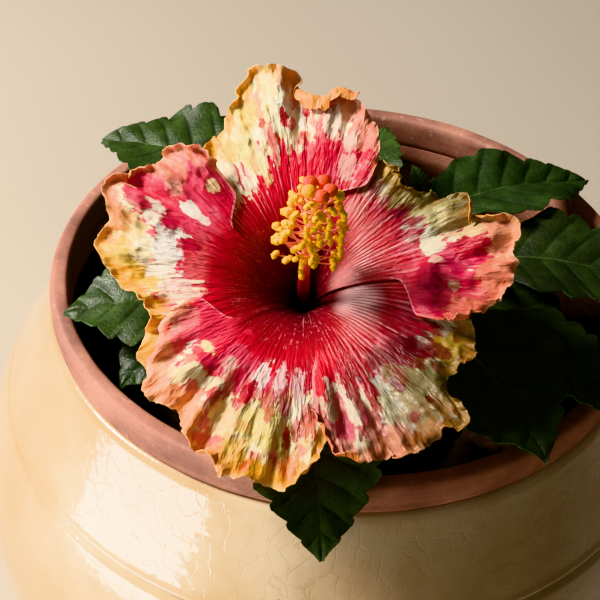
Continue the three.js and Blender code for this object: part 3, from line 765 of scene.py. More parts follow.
def make_rim():
    """The bare clay rim, its edges rounded and a shallow band turned round its outside."""
    bottom = POT_HEIGHT - RIM_HEIGHT
    middle = (RIM_RADIUS + RIM_INNER_RADIUS) / 2
    half = (RIM_RADIUS - RIM_INNER_RADIUS) / 2
    rim = []
    for share in np.linspace(0, 1, 49)[:-1]:
        angle = 2 * math.pi * share - math.pi / 2
        across = math.copysign(abs(math.cos(angle)) ** 0.52, math.cos(angle))
        rise = math.copysign(abs(math.sin(angle)) ** 0.62, math.sin(angle))
        height = bottom + RIM_HEIGHT / 2 * (1 + rise)
        band = 0.45 * math.exp(-(((height - bottom - 4.6) / 0.9) ** 2)) if across > 0 else 0
        rim.append([middle + half * across - band, height])
    radius, height = np.array(rim).T[..., None]
    turns = np.repeat(full_turn(POT_SEGMENTS)[None, :], len(rim), axis=0)
    place = polar(5, turns, height / 9 + 0 * turns)
    swell = 0.25 * layered(place, 3, 8) * np.sign(radius - middle)
    lift = 0.2 * noise(place * [0.6, 0.6, 0], 9) * smooth(height, bottom + 6, POT_HEIGHT)
    points = polar(radius + swell, turns, height + lift - 0.2)
    quads = grid_faces(len(rim) + 1, POT_SEGMENTS, closed=True) % (len(rim) * POT_SEGMENTS)
    mesh_piece("pot_mouth_band", [part(points, quads)], [CLAY], ["pot_rim"])


def crumbly(radius, height, angle):
    """The lumps of the soil's top."""
    place = polar(radius, angle)
    lumps = 1.0 * layered(place / 7, 4, 21) + 0.5 * np.abs(noise(place / 2.1, 25))
    return radius, height + np.clip(lumps, -1.2, 1.3) * (height > SOIL_TOP - 8)


def make_soil():
    """Compost with a crumbly top, strewn with crumbs and bark chips."""
    edge = pot_radius(SOIL_TOP) - WALL - 2
    under = [[0, SOIL_TOP - 40], [edge - 6, SOIL_TOP - 40], [edge - 2, SOIL_TOP - 20]]
    places = np.linspace(edge, 1.5, 70)
    top = [[out, SOIL_TOP - 2.4 + 0.9 * math.cos(out / edge * 1.6)] for out in places]
    points, faces = turned([*under, *top, [0, SOIL_TOP - 1.4]], 200, crumbly)
    mesh_piece("soil_bed", [part(points, faces)], [SOIL], ["soil"], 80)

    crumbs = []
    for k in range(CRUMBS):
        bearing, reach = RANDOM.uniform(0, 360), edge * math.sqrt(RANDOM.uniform(0.01, 0.96))
        size = RANDOM.uniform(1.2, 3.6)
        chip = k % 3 == 0
        radii = (size * 1.5, size, size * 0.35) if chip else (size, size * 0.85, size * 0.7)
        spin, tip = RANDOM.uniform(0, 6.3), RANDOM.uniform(-0.4, 0.4)
        turn = np.array(Matrix.Rotation(spin, 3, "Z") @ Matrix.Rotation(tip, 3, "X"))
        centre = heading(bearing, 0) * reach + UP * (SOIL_TOP - 0.8)
        crumbs.append(ball(centre, radii, 6, 8, 0.35, turn, k, int(chip)))
    mesh_piece("soil_crumbs", crumbs, [SOIL, CHIPS], (), 80)


# ------------------------------------------------------------------ trunk, boughs and shoots


def trunk_points():
    foot = TRUNK_FOOT
    knee = foot + [-1, 1, TRUNK_HEIGHT / 2]
    fork = foot + [-TRUNK_LEAN, TRUNK_LEAN / 2, TRUNK_HEIGHT]
    return foot, knee, fork


def trunk_at(share):
    """A point of the trunk's middle line."""
    foot, knee, fork = trunk_points()
    return lerp(lerp(foot, knee, share), lerp(knee, fork, share), share)


def shoot_start(shoot):
    height = lerp(-BOUGH_START_DROP, shoot["height"], 0.4)
    return around(shoot["bearing"], shoot["reach"] * BOUGH_SHARE, height)


def shoot_path(shoot):
    """The stem of a shoot, from its bough's tip outwards."""
    start = shoot_start(shoot)
    tip = around(shoot["bearing"], shoot["reach"], shoot["height"])
    middle = lerp(start, tip, 0.5) - UP * 1.5
    return bezier([start, middle, tip], 20)


def furrowed(depth, seed):
    """Lengthwise furrows for a limb's relief."""

    def relief(angle, share):
        place = polar(1.7, angle, 0 * angle + share * 6)
        return depth * (layered(place, 3, seed) - 0.4 * np.abs(noise(place * 3, seed + 9)))

    return relief


def make_wood(shoots):
    """The trunk and its boughs, with the relief of their bark."""
    foot, knee, fork = trunk_points()
    share = np.linspace(0, 1, 61)
    radii = lerp(TRUNK_RADIUS, TRUNK_TOP_RADIUS, share) + TRUNK_FLARE * np.exp(-share * 7)
    radii[-3:] *= [0.97, 0.86, 0.6]
    wood = [tube(bezier([foot + UP * 3.2, knee, fork], 60), radii, 48, furrowed(0.55, 31))]
    for rank, shoot in enumerate(shoots):
        root = trunk_at(FORK_LEVELS[rank % 2])
        tip = shoot_start(shoot)
        path = bezier([root, lerp(root, tip, 0.5) - UP * 2, tip], 30)
        share = np.linspace(0, 1, 31)
        radii = lerp(BOUGH_RADIUS, SHOOT_RADIUS, share) + 1.1 * np.exp(-share * 9)
        for node in (0.35, 0.68):
            radii += 0.35 * bell(share - node, 0.018)
        wood.append(tube(path, radii, 20, furrowed(0.18, 40 + rank)))
    nodes = ["trunk"] + ["bough_" + shoot["name"] for shoot in shoots]
    mesh_piece("trunk_and_boughs", wood, [BARK], nodes, 80)


# A leaf's tip is its bearing, reach and height over the rim. Its midrib has a heading and a rise,
# the blade a roll towards its left and an arch, and its tone is a place among LEAF_TONES, picked partly for
# how light falls on the leaf.
LEAF_KEYS = ("tip", "heading", "rise", "length", "width", "roll", "arch", "tone")


def shoot_of(name, bearing, reach, height, *leaves):
    """A shoot, by the place of its tip, with a row of LEAF_KEYS for each of its leaves."""
    leaves = [dict(zip(LEAF_KEYS, leaf)) for leaf in leaves]
    return dict(name=name, bearing=bearing, reach=reach, height=height, leaves=leaves)


SHOOTS = [
    shoot_of(
        "back_left", 140, 50, 6,
        ((153, 128, 14), 160, -4, 82, 56, 4, 0.07, 2),
        ((142, 104, -16), 150, -10, 62, 40, 0, 0.1, 1),
    ),
    shoot_of(
        "back", 98, 50, 8,
        ((103, 120, 6), 98, -4, 70, 46, 0, 0.12, 1),
        ((88, 102, -12), 80, -8, 60, 40, 0, 0.12, 0),
        ((116, 98, -20), 122, -10, 56, 38, 0, 0.1, 1),
    ),
    shoot_of(
        "crown", 84, 30, 20,
        ((77, 57, 36), 72, 20, 46, 32, 0, 0.12, 2),
        ((148, 58, 29), 152, 12, 46, 30, 5, 0.1, 2),
        ((112, 63, 47), 110, 30, 48, 30, -5, 0.12, 2),
    ),
    shoot_of(
        "back_right", 48, 50, 6,
        ((32, 125, 6), 30, -6, 84, 46, 0, 0.07, 1),
        ((55, 102, -18), 52, -8, 58, 40, 0, 0.1, 0),
    ),
    shoot_of(
        "right", 0, 52, 2,
        ((359, 132, 3), 354, -4, 72, 54, 0, 0.08, 0),
        ((338, 106, -10), 330, -8, 62, 44, 0, 0.1, 0),
        ((19, 104, -8), 34, -4, 56, 38, 0, 0.1, 0),
    ),
    shoot_of(
        "front_right", 316, 52, -4,
        ((307, 133, 4), 303, -4, 80, 66, 0, 0.08, 0),
        ((324, 132, 3), 322, -4, 66, 46, 0, 0.08, 0),
        ((291, 111, -12), 282, -8, 54, 36, 0, 0.1, 0),
    ),
    shoot_of(
        "front", 268, 58, -10,
        ((270, 143, -20), 283, -28, 68, 51, 0, 0.16, 2),
        ((256, 106, -12), 252, -6, 52, 36, 0, 0.1, 1),
    ),
    shoot_of(
        "front_left", 232, 50, -6,
        ((238, 108, -8), 242, -6, 64, 44, 0, 0.1, 1),
        ((221, 112, -10), 232, -8, 60, 44, 0, 0.1, 1),
    ),
    shoot_of(
        "left", 190, 50, 2,
        ((205, 122, 8), 186, -4, 76, 54, 10, 0.08, 2),
        ((176, 104, -12), 170, -8, 60, 42, 0, 0.1, 1),
    ),
]


def low_leaf(shoot):
    """The leaf that hangs low beside a shoot, inside the pot's mouth."""
    bearing = shoot["bearing"] + LOW_LEAF_TURN
    tip = (bearing, *LOW_LEAF_TIP)
    return dict(zip(LEAF_KEYS, (tip, bearing - 4, -10, *LOW_LEAF_SIZE, 0, 0.1, 0)))


def leaf_frame(leaf):
    """A leaf's root, the way its midrib runs, its left side and its face's direction."""
    along = heading(leaf["heading"], leaf["rise"])
    tip = around(*leaf["tip"]) if "tip" in leaf else leaf["root"] + along * leaf["length"]
    root = tip - along * leaf["length"]
    left = unit(np.cross(UP, along))
    roll = math.radians(-leaf["roll"])
    left = left * math.cos(roll) + np.cross(along, left) * math.sin(roll)
    return root, along, left, np.cross(along, left)


def blade_places():
    """The rows of a blade's grid, which follow its side veins, and its sides, from 1 to -1."""
    per_vein = [0, 0.06, 0.16, 0.33, 0.5, 0.67, 0.84, 0.94]
    row = [vein + step for vein in range(LEAF_VEINS) for step in per_vein] + [LEAF_VEINS]
    half_row = np.array([0, 0.018, 0.05, 0.14, 0.27, 0.41, 0.55, 0.69, 0.83, 0.95, 1.0])
    side = np.concatenate([half_row[:0:-1], -half_row])
    return np.array(row)[:, None], side[None, :]


def blade_paint(within, out, tone):
    """Which tone each face of a blade's upper side takes: the midrib's, a side vein's or its own."""
    rows, columns = len(within), out.shape[1]
    steps = np.repeat(within[:-1], columns - 1, axis=1)
    beyond = np.repeat(out[:, :-1], rows - 1, axis=0)
    inner = np.repeat(np.minimum(out[:, :-1], out[:, 1:]), rows - 1, axis=0)
    past_root = np.arange(rows - 1)[:, None] > 8
    on_vein = ((steps < 0.03) | (steps > 0.93)) & (beyond < 0.8) & past_root
    return np.where(inner < 0.01, MIDRIB, np.where(on_vein, SIDE_VEIN, tone)).ravel()


def leaf_blade(leaf, seed):
    """A blade whose rows follow its side veins, which end in the teeth of its margin."""
    root, along, left, face = leaf_frame(leaf)
    length = leaf["length"]
    size = length / FULL_LEAF
    row, side = blade_places()
    out = np.abs(side)
    stem = row / LEAF_VEINS
    at_margin = stem + LEAF_SKEW * np.sqrt(stem) * (1 - stem)
    share = np.clip(stem + (at_margin - stem) * out**1.15, *LEAF_ENDS)
    margin = np.clip(at_margin, *LEAF_ENDS)
    low, full = MARGIN_POWERS
    outline = np.sin(math.pi * margin**low) ** full
    within = row - np.floor(row)
    tooth = np.abs(np.cos(math.pi * row)) ** 0.8 + 0.25 * (within > 0.5)
    teeth = 1 + LEAF_TEETH * (1.1 * tooth - 0.6) * smooth(margin, 0.12, 0.3)
    half = np.maximum(0.8 * length / FULL_LEAF, leaf["width"] / 2 * outline * teeth)
    across = side * half * (1 + 0.03 * noise(np.stack([row * 0.7, 0 * row], -1), seed))

    vein = bell(np.minimum(within, 1 - within), 0.09) * (1 - out**4) * smooth(out, 0, 0.1)
    pucker = np.sin(math.pi * within) * np.sin(math.pi * np.clip(out * 0.96, 0, 1)) ** 0.7
    midrib = bell(side * half, 1.0)
    place = np.stack([across / 17 + seed, share * length / 22 + 0 * side], axis=-1)
    wave = layered(place, 2, seed) * (0.4 + 1.6 * out**2) * length / FULL_LEAF
    frill = np.sin(2 * math.pi * (share * 2.6 + 0.37 * seed) + side) * out**3 * length / FULL_LEAF
    lift = LEAF_FOLD * np.sqrt(across**2 + 1.5) + length * leaf["arch"] * 4 * share * (1 - share)
    lift = lift + wave + frill + size * (0.85 * pucker - 0.4 * vein) - 0.35 * midrib
    grid = root + (share * length)[..., None] * along
    grid = grid + across[..., None] * left + lift[..., None] * face
    thickness = LEAF_THICKNESS + 0.45 * midrib * (1 - 0.7 * share) + 0.15 * vein
    return sheet(grid, thickness, (blade_paint(within, out, leaf["tone"]), UNDERSIDE))


def petiole(leaf, start):
    """The stalk of a leaf, from its shoot's stem to just inside its blade."""
    root, along, _, face = leaf_frame(leaf)
    end = root + along * PETIOLE_SINK + face * leaf["length"] * leaf["arch"] * 0.15
    reach = np.linalg.norm(end - start)
    before = root - along * reach * 0.35
    leaving = lerp(start, before, 0.4) + UP * reach * 0.08
    share = np.linspace(0, 1, 23)
    radii = PETIOLE_RADIUS * lerp(1.0, 0.8, share)
    radii = radii + 0.7 * np.exp(-share * 16) + 0.25 * np.exp((share - 1) * 12)
    radii = min(1.0, leaf["length"] / 50) * radii
    return tube(bezier([start, leaving, before, end], 22), radii, 10, furrowed(0.05, 3))


def young_leaves(shoot, path):
    """The unfolding leaves at a shoot's tip, each with the place its stalk starts from."""
    young = []
    for k, (turn, rise, length) in enumerate([(-58, 22, 20), (64, 28, 17), (8, 40, 13)]):
        bearing = shoot["bearing"] + turn
        root = path[-1] + heading(bearing, rise) * 5
        leaf = dict(root=root, heading=bearing, rise=rise, length=length, width=length * 0.5)
        young.append((dict(leaf, roll=0, arch=0.12, tone=2), path[-1 - k]))
    return young


def make_shoot(shoot, rank):
    """One shoot's stem with its leaf stalks and bud, and its leaves."""
    path = shoot_path(shoot)
    share = np.linspace(0, 1, len(path))
    radii = lerp(SHOOT_RADIUS, SHOOT_TIP_RADIUS, share)
    name = shoot["name"]
    leaves = list(shoot["leaves"])
    if name != "crown":
        leaves.append(low_leaf(shoot))
    starts = [0.96 - 0.86 * k / len(leaves) for k in range(len(leaves))]
    for start in starts:
        radii = radii + 0.55 * bell(share - start, 0.045)
    stems = [tube(path, radii, 16, furrowed(0.1, 60 + rank), 1)]
    blades = []
    grown = [(leaf, path[round(start * (len(path) - 1))]) for leaf, start in zip(leaves, starts)]
    for k, (leaf, start) in enumerate(grown + young_leaves(shoot, path)):
        stems.append(petiole(leaf, start))
        blades.append(leaf_blade(leaf, rank * 7 + k))
    bud = path[-1] + unit(path[-1] - path[-3]) * 2
    stems.append(ball(bud, (3.0, 1.6, 1.6), 8, 12, 0.1, np.eye(3), rank))
    mesh_piece(f"stems_{name}", stems, [PETIOLE, SHOOT_BARK], [f"shoot_{name}"], 80)
    mesh_piece(f"leaves_{name}", blades, LEAF_TONES, [f"shoot_{name}"], 75)


# ------------------------------------------------------------------ bloom


def in_bloom(x, y, z):
    """Points given in the bloom's own axes: to its right, up its face and out along its axis."""
    x, y, z = (np.asarray(value, float)[..., None] for value in (x, y, z))
    return BLOOM_CENTRE + x * BLOOM_RIGHT + y * BLOOM_UP + z * BLOOM_AXIS


def corolla_height(radius):
    throat = -THROAT_DEPTH * np.exp((PETAL_START - radius) / THROAT_FALL)
    bend = np.maximum(0, radius - REFLEX_START) / 30
    return throat + PETAL_LIFT * radius / 80 - PETAL_REFLEX * bend * bend


def ruffle(angle, radius):
    """The waves that all petals share; angle in radians."""
    growth = RUFFLE * smooth(radius, RUFFLE_START, FULL_RADIUS)
    return growth * (0.62 * np.sin(7 * angle + 1.1) + 0.5 * np.sin(12 * angle + radius / 16))


def corolla_point(angle, radius, raised):
    """A point raised over the corolla's shared surface along its normal; angle in radians."""
    slope = (corolla_height(radius + 0.1) - corolla_height(radius - 0.1)) / 0.2
    size = np.hypot(slope, 1)
    out = radius - raised * slope / size
    height = corolla_height(radius) + raised / size
    return in_bloom(out * np.cos(angle), out * np.sin(angle), height)


# Each petal runs from its upper edge, which lies on its neighbour, round to its hidden edge.
# - margin is (angle, radius) points. claw says how far its edges draw in towards the throat,
#   between two radii, and lip how high its upper edge stands. pleats scales its lengthwise pleats.
# - A fold is a raised or sunken place: angle, radius, half length outwards, half width and height.
# - hems are (angle, curl, width) points along the margin, curl being how far it rolls forwards.
# - tones are its outer red, its cream, and the cream's shade, blush and flecks; the higher flecked
#   is, the more flecks show. pale gives the radius from which it is cream rather than red.
# - veins and dark_veins say how strongly its pale and dark veins show, the pale from vein_start out.
# - A patch is a blotch over all that, and a sheen one in the red, a pale pink that is partly the tissue's
#   own and partly a painted highlight:
#   angle, radius, half length outwards, half width, colour and strength. rims are colours of a rim rim_width
#   wide.
# - depth is a share that all its colours are multiplied by outside the throat, as painted light and shade:
#   it deepens the lower right petals and lightens the left ones.
PETALS = [
    dict(
        name="petal_top", start=61, end=140, claw=(17, 32, 44), pleats=0.45, lip=2.2,
        margin=[(61, 48), (63, 55), (68, 62), (75, 68), (80, 73), (84, 73), (87, 70), (91, 69), (95, 72),
            (98, 79), (104, 82), (109, 82), (113, 77), (119, 69), (124, 67), (129, 64), (134, 62),
            (140, 56)],
        pale=[(62, 62), (75, 60), (81, 55), (88, 52), (97, 49), (104, 46), (113, 45), (126, 38),
            (140, 36)],
        veins=[(62, 0.5), (88, 0.5), (105, 0.9), (140, 0.9)],
        vein_start=28,
        dark_veins=[(62, 0.2), (140, 0.15)],
        tones=("#d42148", "#faf0cf", "#f3dc96", "#e8a58c", "#b81c34"), flecked=-0.16, sheens=[],
        depth=[(62, 0.7), (80, 0.78), (92, 1.1), (104, 1.1), (140, 1.0)],
        rims=[(62, "#e8907a"), (78, "#eb9f84"), (90, "#f0a562"), (100, "#f0ab66"), (107, "#efae50"),
            (114, "#ecb238"), (140, "#e8a832")],
        rim_width=8,
        patches=[(74, 46, 5, 4, "#eeb4ac", 0.9), (72, 60, 13, 8, "#e6937f", 0.85),
            (82, 66, 8, 6, "#e59a82", 0.6), (79, 49, 6, 9, "#cb1738", 0.9),
            (92, 43, 6, 8, "#c41630", 0.85), (102, 62, 3.5, 1.7, "#b0182f", 0.95),
            (99, 60, 2.5, 1.6, "#bd3340", 0.85), (94, 66, 3, 1.6, "#a9182e", 0.9),
            (110, 61, 2, 1.2, "#c02a38", 0.85), (108, 54, 5, 1.6, "#b92238", 0.8),
            (86, 64, 6, 2, "#ae1c34", 0.85), (88, 57, 5, 2, "#b8263c", 0.7),
            (118, 56, 12, 4, "#f8e8a8", 0.7), (105, 74, 7, 4, "#f2d78c", 0.6),
            (131, 50, 6, 4, "#fbf0d2", 0.8), (98, 70, 5, 2, "#d98274", 0.7),
            (101, 75, 4, 3, "#e08f7c", 0.6), (84, 60, 5, 4, "#fbf3e0", 0.7),
            (76, 55, 4, 3, "#f6e3cf", 0.6), (113, 70, 9, 4, "#f4cf62", 0.6),
            (126, 60, 7, 4, "#f1c75c", 0.6)],
        folds=[(97, 72, 14, 2.0, -3.2), (91, 72, 7, 6, 2.2), (103, 76, 10, 4, 2.6),
            (112, 68, 12, 3, -2.0), (72, 58, 10, 8, 2.6), (79, 62, 12, 2, -1.4), (86, 60, 12, 2, 1.2),
            (119, 60, 10, 3, 1.6)],
        hems=[(62, 20, 3), (72, -50, 4), (78, 60, 4), (81, 160, 8), (87, 172, 10), (93, 168, 9),
            (97, 110, 5), (101, 45, 4), (106, 60, 4), (111, 60, 4), (117, 50, 4), (125, -60, 4),
            (133, 80, 4), (140, 0, 3)],
    ),
    dict(
        name="petal_left", start=133, end=220, claw=(16, 32, 42), pleats=0.45, lip=2.6,
        margin=[(133, 55), (135, 63), (139, 68), (143, 70), (146, 72), (149, 69), (153, 75), (157, 77),
            (160, 81), (163, 80), (166, 77), (170, 75), (174, 78), (178, 78), (182, 73), (187, 69),
            (192, 64), (196, 60), (202, 58), (207, 61), (211, 66), (215, 69), (220, 65)],
        pale=[(133, 66), (150, 70), (165, 66), (172, 54), (180, 46), (190, 41), (200, 38), (208, 38)],
        veins=[(133, 0.1), (160, 0.15), (172, 0.5), (185, 0.9), (208, 0.9)],
        vein_start=36,
        dark_veins=[(133, 0.1), (208, 0.1)],
        tones=("#ee5a72", "#fbeecb", "#f0cb70", "#f2ab8c", "#c62a48"), flecked=-0.08,
        depth=[(133, 1.0), (208, 1.0)],
        sheens=[(180, 40, 5, 14, "#f27c80", 0.6)],
        rims=[(133, "#eda48a"), (150, "#ea9f7c"), (160, "#e99c74"), (172, "#eca46c"), (180, "#eeb04c"),
            (208, "#e9ae34")],
        rim_width=10,
        patches=[(150, 50, 13, 13, "#ea5672", 0.8), (160, 57, 8, 6, "#e24a62", 0.8),
            (154, 48, 4, 2.2, "#fdf3ea", 1.0), (155, 43, 3, 1.8, "#fbe9e0", 0.95),
            (139, 49, 3, 2.0, "#f3dcae", 0.85), (160, 61, 3.4, 2.4, "#fbeedd", 0.95),
            (165, 60, 3.6, 2.6, "#fbf0dc", 0.95), (167, 51, 5, 2.6, "#fdf6ef", 1.0),
            (175, 52, 5, 6.0, "#fffaf4", 1.0), (182, 53, 5, 3.4, "#fdf5e6", 0.95),
            (171, 65, 6, 6, "#f3dfa8", 0.9), (164, 53, 3, 2, "#c01c46", 0.85),
            (186, 62, 9, 7, "#f2c24c", 0.85), (190, 47, 6, 2, "#f7d9d6", 0.7),
            (195, 46, 7, 2, "#fae4da", 0.7), (146, 62, 5, 6, "#ea9c88", 0.7),
            (151, 58, 3, 2, "#f0b7a2", 0.7), (162, 67, 5, 2, "#c64a5c", 0.7),
            (148, 42, 3, 1.8, "#e36d86", 0.7), (142, 44, 7, 4, "#c21d40", 0.7),
            (170, 44, 4, 2, "#c4183a", 0.8), (178, 68, 6, 5, "#f2cf6a", 0.8),
            (178, 60, 4, 3, "#f7e7bb", 0.7), (168, 71, 5, 4, "#eab07a", 0.7)],
        folds=[(150, 66, 9, 4, 3.0), (156, 64, 12, 2.2, -3.0), (162, 70, 10, 4, 3.0),
            (171, 70, 10, 4, -2.2), (178, 72, 9, 4, 2.6), (188, 60, 8, 4, -1.8), (140, 58, 9, 5, 2.0),
            (145, 56, 14, 2, -1.6), (166, 60, 12, 2.5, 1.4)],
        hems=[(133, 60, 3), (138, 90, 4), (142, 50, 4), (146, -70, 4), (151, 60, 4), (155, 95, 4),
            (160, 70, 4), (165, 40, 4), (169, -60, 4), (174, 60, 4), (179, 40, 4), (184, 60, 3),
            (189, -50, 3), (194, 40, 3), (208, 0, 3), (220, 0, 3)],
    ),
    dict(
        name="petal_lower_left", start=198, end=290, claw=(18, 30, 40), pleats=0.55, lip=2.4,
        margin=[(198, 44), (203, 51), (208, 56), (213, 60), (217, 65), (221, 70), (224, 73), (227, 73),
            (230, 71), (235, 69), (239, 74), (243, 77), (247, 76), (250, 78), (254, 82), (259, 80),
            (265, 81), (270, 82), (274, 78), (278, 70), (284, 60), (290, 52)],
        pale=[(198, 62), (210, 62), (220, 55), (231, 50), (247, 46), (257, 41), (265, 43), (275, 46),
            (290, 48)],
        veins=[(198, 0.1), (222, 0.15), (240, 0.7), (262, 0.95), (290, 0.95)],
        vein_start=36,
        dark_veins=[(198, 0.08), (250, 0.12), (290, 0.3)],
        tones=("#e6405c", "#f4e6bc", "#d8bc66", "#e89070", "#ac1830"), flecked=0.08,
        depth=[(198, 1.5), (226, 1.4), (240, 1.15), (254, 0.8), (268, 0.72), (290, 0.6)],
        sheens=[(212, 36, 8, 12, "#f0506a", 0.7)],
        rims=[(198, "#eba07e"), (222, "#ea9f76"), (238, "#ea9c60"), (252, "#e9a04c"), (262, "#ecac2c"),
            (290, "#e59c26")],
        rim_width=10,
        patches=[(213, 40, 9, 9, "#ea4460", 0.9), (208, 46, 4, 5, "#f48e8e", 0.8),
            (225, 46, 2.2, 4, "#f0dcaa", 1.0), (226, 50, 2.4, 6, "#b4243e", 0.9),
            (214, 53, 6, 5, "#ec6670", 0.85), (218, 60, 6, 6, "#f6a084", 0.9),
            (203, 53, 6, 5, "#fcdcb8", 0.9), (227, 61, 3, 4, "#fbe4b4", 0.95),
            (231, 56, 3, 4, "#fbe8bc", 0.95), (238, 54, 3.4, 3.4, "#f8e6c0", 0.95),
            (234, 50, 3, 5, "#c8344e", 0.85), (231, 66, 2.4, 4, "#e0605c", 0.85),
            (222, 67, 6, 7, "#f6ac82", 0.85), (242, 67, 4, 3, "#d8606a", 0.85),
            (246, 72, 3, 5, "#d05458", 0.85), (244, 45, 8, 10, "#d4607a", 0.55),
            (219, 55, 2, 4, "#d8485a", 0.8), (233, 61, 3, 2, "#dc5452", 0.8),
            (251, 50, 5, 2.6, "#9d0a20", 0.98), (267, 51, 5, 3, "#b02038", 0.8),
            (276, 55, 6, 3, "#c23c44", 0.75), (260, 50, 4, 2, "#b4203a", 0.8),
            (241, 58, 4, 2.4, "#b01c34", 0.8), (269, 62, 4, 1.4, "#9e1419", 0.98),
            (272, 58, 5, 1.6, "#a2182d", 0.8), (262, 56, 4, 1.4, "#a81c32", 0.7),
            (253, 42, 6, 2.4, "#f8e4e0", 0.85), (263, 43, 7, 1.8, "#f6d8d6", 0.75),
            (272, 45, 7, 1.8, "#f3cfd0", 0.7), (257, 62, 9, 8, "#d2b860", 0.65),
            (246, 62, 7, 6, "#e8b878", 0.6), (266, 60, 8, 4, "#cdbb52", 0.6),
            (237, 67, 5, 5, "#f0a682", 0.75), (263, 76, 3, 5, "#dd5a24", 0.8),
            (243, 49, 7, 2.6, "#bd1c38", 0.8), (255, 72, 6, 5, "#e9ae34", 0.7),
            (271, 74, 6, 3, "#e27a2e", 0.8), (266, 72, 3, 1.4, "#c2301c", 0.85)],
        folds=[(230, 57, 22, 17, 5.0), (221, 52, 16, 3, -1.0), (228, 60, 12, 4, 1.6),
            (235, 66, 12, 3, -1.8), (241, 62, 14, 2.4, 1.2), (246, 68, 16, 2.4, -1.0),
            (252, 66, 16, 2.4, 1.2), (258, 64, 16, 2, -1.0), (264, 70, 14, 3, 1.4),
            (270, 68, 14, 2.2, -1.1), (277, 66, 12, 4, 1.4), (215, 62, 8, 3, 1.2)],
        hems=[(198, -20, 3), (204, -35, 3), (209, -55, 3), (214, -25, 3), (219, -55, 4), (226, 60, 4),
            (232, 50, 4), (237, -60, 4), (243, 70, 4), (249, 50, 4), (254, -70, 4), (260, 80, 4),
            (266, -60, 4), (272, 80, 5), (278, 60, 4), (290, 0, 3)],
    ),
    dict(
        name="petal_lower_right", start=279, end=355, claw=(6, 22, 42), pleats=0.5, lip=3.2,
        margin=[(279, 53), (281, 63), (284, 70), (288, 73), (291, 74), (294, 75), (298, 76), (302, 77),
            (306, 80), (311, 78), (315, 78), (319, 81), (321, 76), (324, 69), (328, 65), (332, 65),
            (336, 69), (341, 68), (346, 65), (350, 60), (355, 54)],
        pale=[(279, 50), (290, 44), (300, 50), (306, 44), (312, 50), (320, 47), (330, 52), (340, 50),
            (355, 48)],
        veins=[(279, 0.3), (290, 0.5), (305, 1.0), (320, 1.0), (355, 0.8)],
        vein_start=24,
        dark_veins=[(279, 0.2), (295, 0.5), (312, 0.9), (355, 1.0)],
        # Its cream and shade, and the olive patches over them, are darker than the other petals' creams, as
        # painted shade.
        tones=("#d01c38", "#dfd0aa", "#b4a468", "#c86a5c", "#8c1026"), flecked=0.2,
        depth=[(279, 0.62), (292, 0.52), (302, 0.44), (313, 0.32), (332, 0.32), (345, 0.6), (355, 0.9)],
        sheens=[(345, 22, 9, 8, "#f4c6c6", 0.8), (330, 26, 8, 6, "#e08a8c", 0.5),
            (314, 27, 7, 5, "#cf5254", 0.35)],
        rims=[(279, "#dc7c64"), (292, "#d47c5e"), (303, "#cf7e54"), (310, "#c88440"), (320, "#c08c30"),
            (335, "#b2862c"), (355, "#a07c30")],
        rim_width=7,
        patches=[(302, 41, 6, 4, "#7a0e1c", 0.9), (315, 41, 5, 5, "#94101e", 0.85),
            (330, 48, 5, 4, "#6c1018", 0.8), (284, 58, 7, 6, "#ee8078", 0.9),
            (284, 66, 6, 7, "#f0988a", 0.9), (289, 60, 6, 5, "#d8486a", 0.85),
            (296, 62, 7, 5, "#c83c5c", 0.85), (285, 47, 8, 5, "#f2c8b0", 0.85),
            (290, 48, 5, 3, "#f6dcc8", 0.8), (298, 69, 6, 5, "#dc7474", 0.7),
            (297, 45, 8, 3, "#c40c28", 0.95), (301, 40, 6, 3, "#a8061e", 0.9),
            (307, 52, 11, 4, "#e0d8c4", 0.9), (318, 56, 13, 9, "#a8925a", 0.85),
            (326, 46, 9, 6, "#8a1a2c", 0.75), (303, 52, 8, 2.2, "#b00e28", 0.9),
            (285, 38, 9, 5, "#d8122c", 0.9), (306, 42, 6, 4, "#bd0c2a", 0.7),
            (296, 52, 9, 2.2, "#c01a3a", 0.8), (313, 55, 4, 1.8, "#8c1226", 0.95),
            (316, 52, 5, 2.4, "#b02c40", 0.6), (331, 50, 6, 4, "#a01c36", 0.85),
            (324, 54, 3, 1.8, "#96182e", 0.8), (306, 62, 7, 3, "#ddd2a8", 0.7),
            (314, 66, 9, 6, "#b8a46c", 0.7), (324, 62, 8, 5, "#a89a5a", 0.7),
            (302, 72, 6, 6, "#f0a084", 0.9), (295, 73, 4, 4, "#eb9c7c", 0.75),
            (338, 60, 6, 6, "#dab23e", 0.85), (334, 57, 4, 2, "#8c2024", 0.85),
            (317, 66, 2, 1.2, "#8e2430", 0.9), (310, 68, 2, 1.2, "#a8404a", 0.8),
            (293, 57, 6, 2, "#f4dcc8", 0.8), (289, 52, 5, 2, "#d2455c", 0.7),
            (299, 62, 6, 2, "#c0304c", 0.7), (319, 72, 3, 4, "#c9853c", 0.6),
            (328, 60, 3, 2, "#93222e", 0.7), (342, 61, 3, 3, "#92241f", 0.8),
            (309, 74, 3, 5, "#dd8c58", 0.6)],
        folds=[(284, 52, 10, 4, 2.8), (289, 58, 12, 2.2, -2.4), (294, 66, 12, 3, 1.8),
            (303, 66, 14, 3, 1.3), (299, 58, 14, 2.0, -1.5), (308, 62, 14, 2.0, -1.1),
            (313, 66, 14, 2.4, 1.3), (319, 66, 12, 3, -1.2), (330, 60, 10, 4, -1.5),
            (285, 38, 8, 3, 2.4)],
        hems=[(279, 50, 3), (282, 60, 3), (286, 120, 4), (289, 130, 5), (292, 50, 4), (297, -60, 4),
            (301, 90, 5), (306, 40, 4), (310, -70, 4), (315, 100, 5), (320, 60, 4), (325, -70, 4),
            (331, 90, 5), (337, 60, 5), (343, -50, 4), (355, 0, 3)],
    ),
    dict(
        name="petal_right", start=343, end=427, claw=(20, 34, 45), pleats=0.55, lip=3.0,
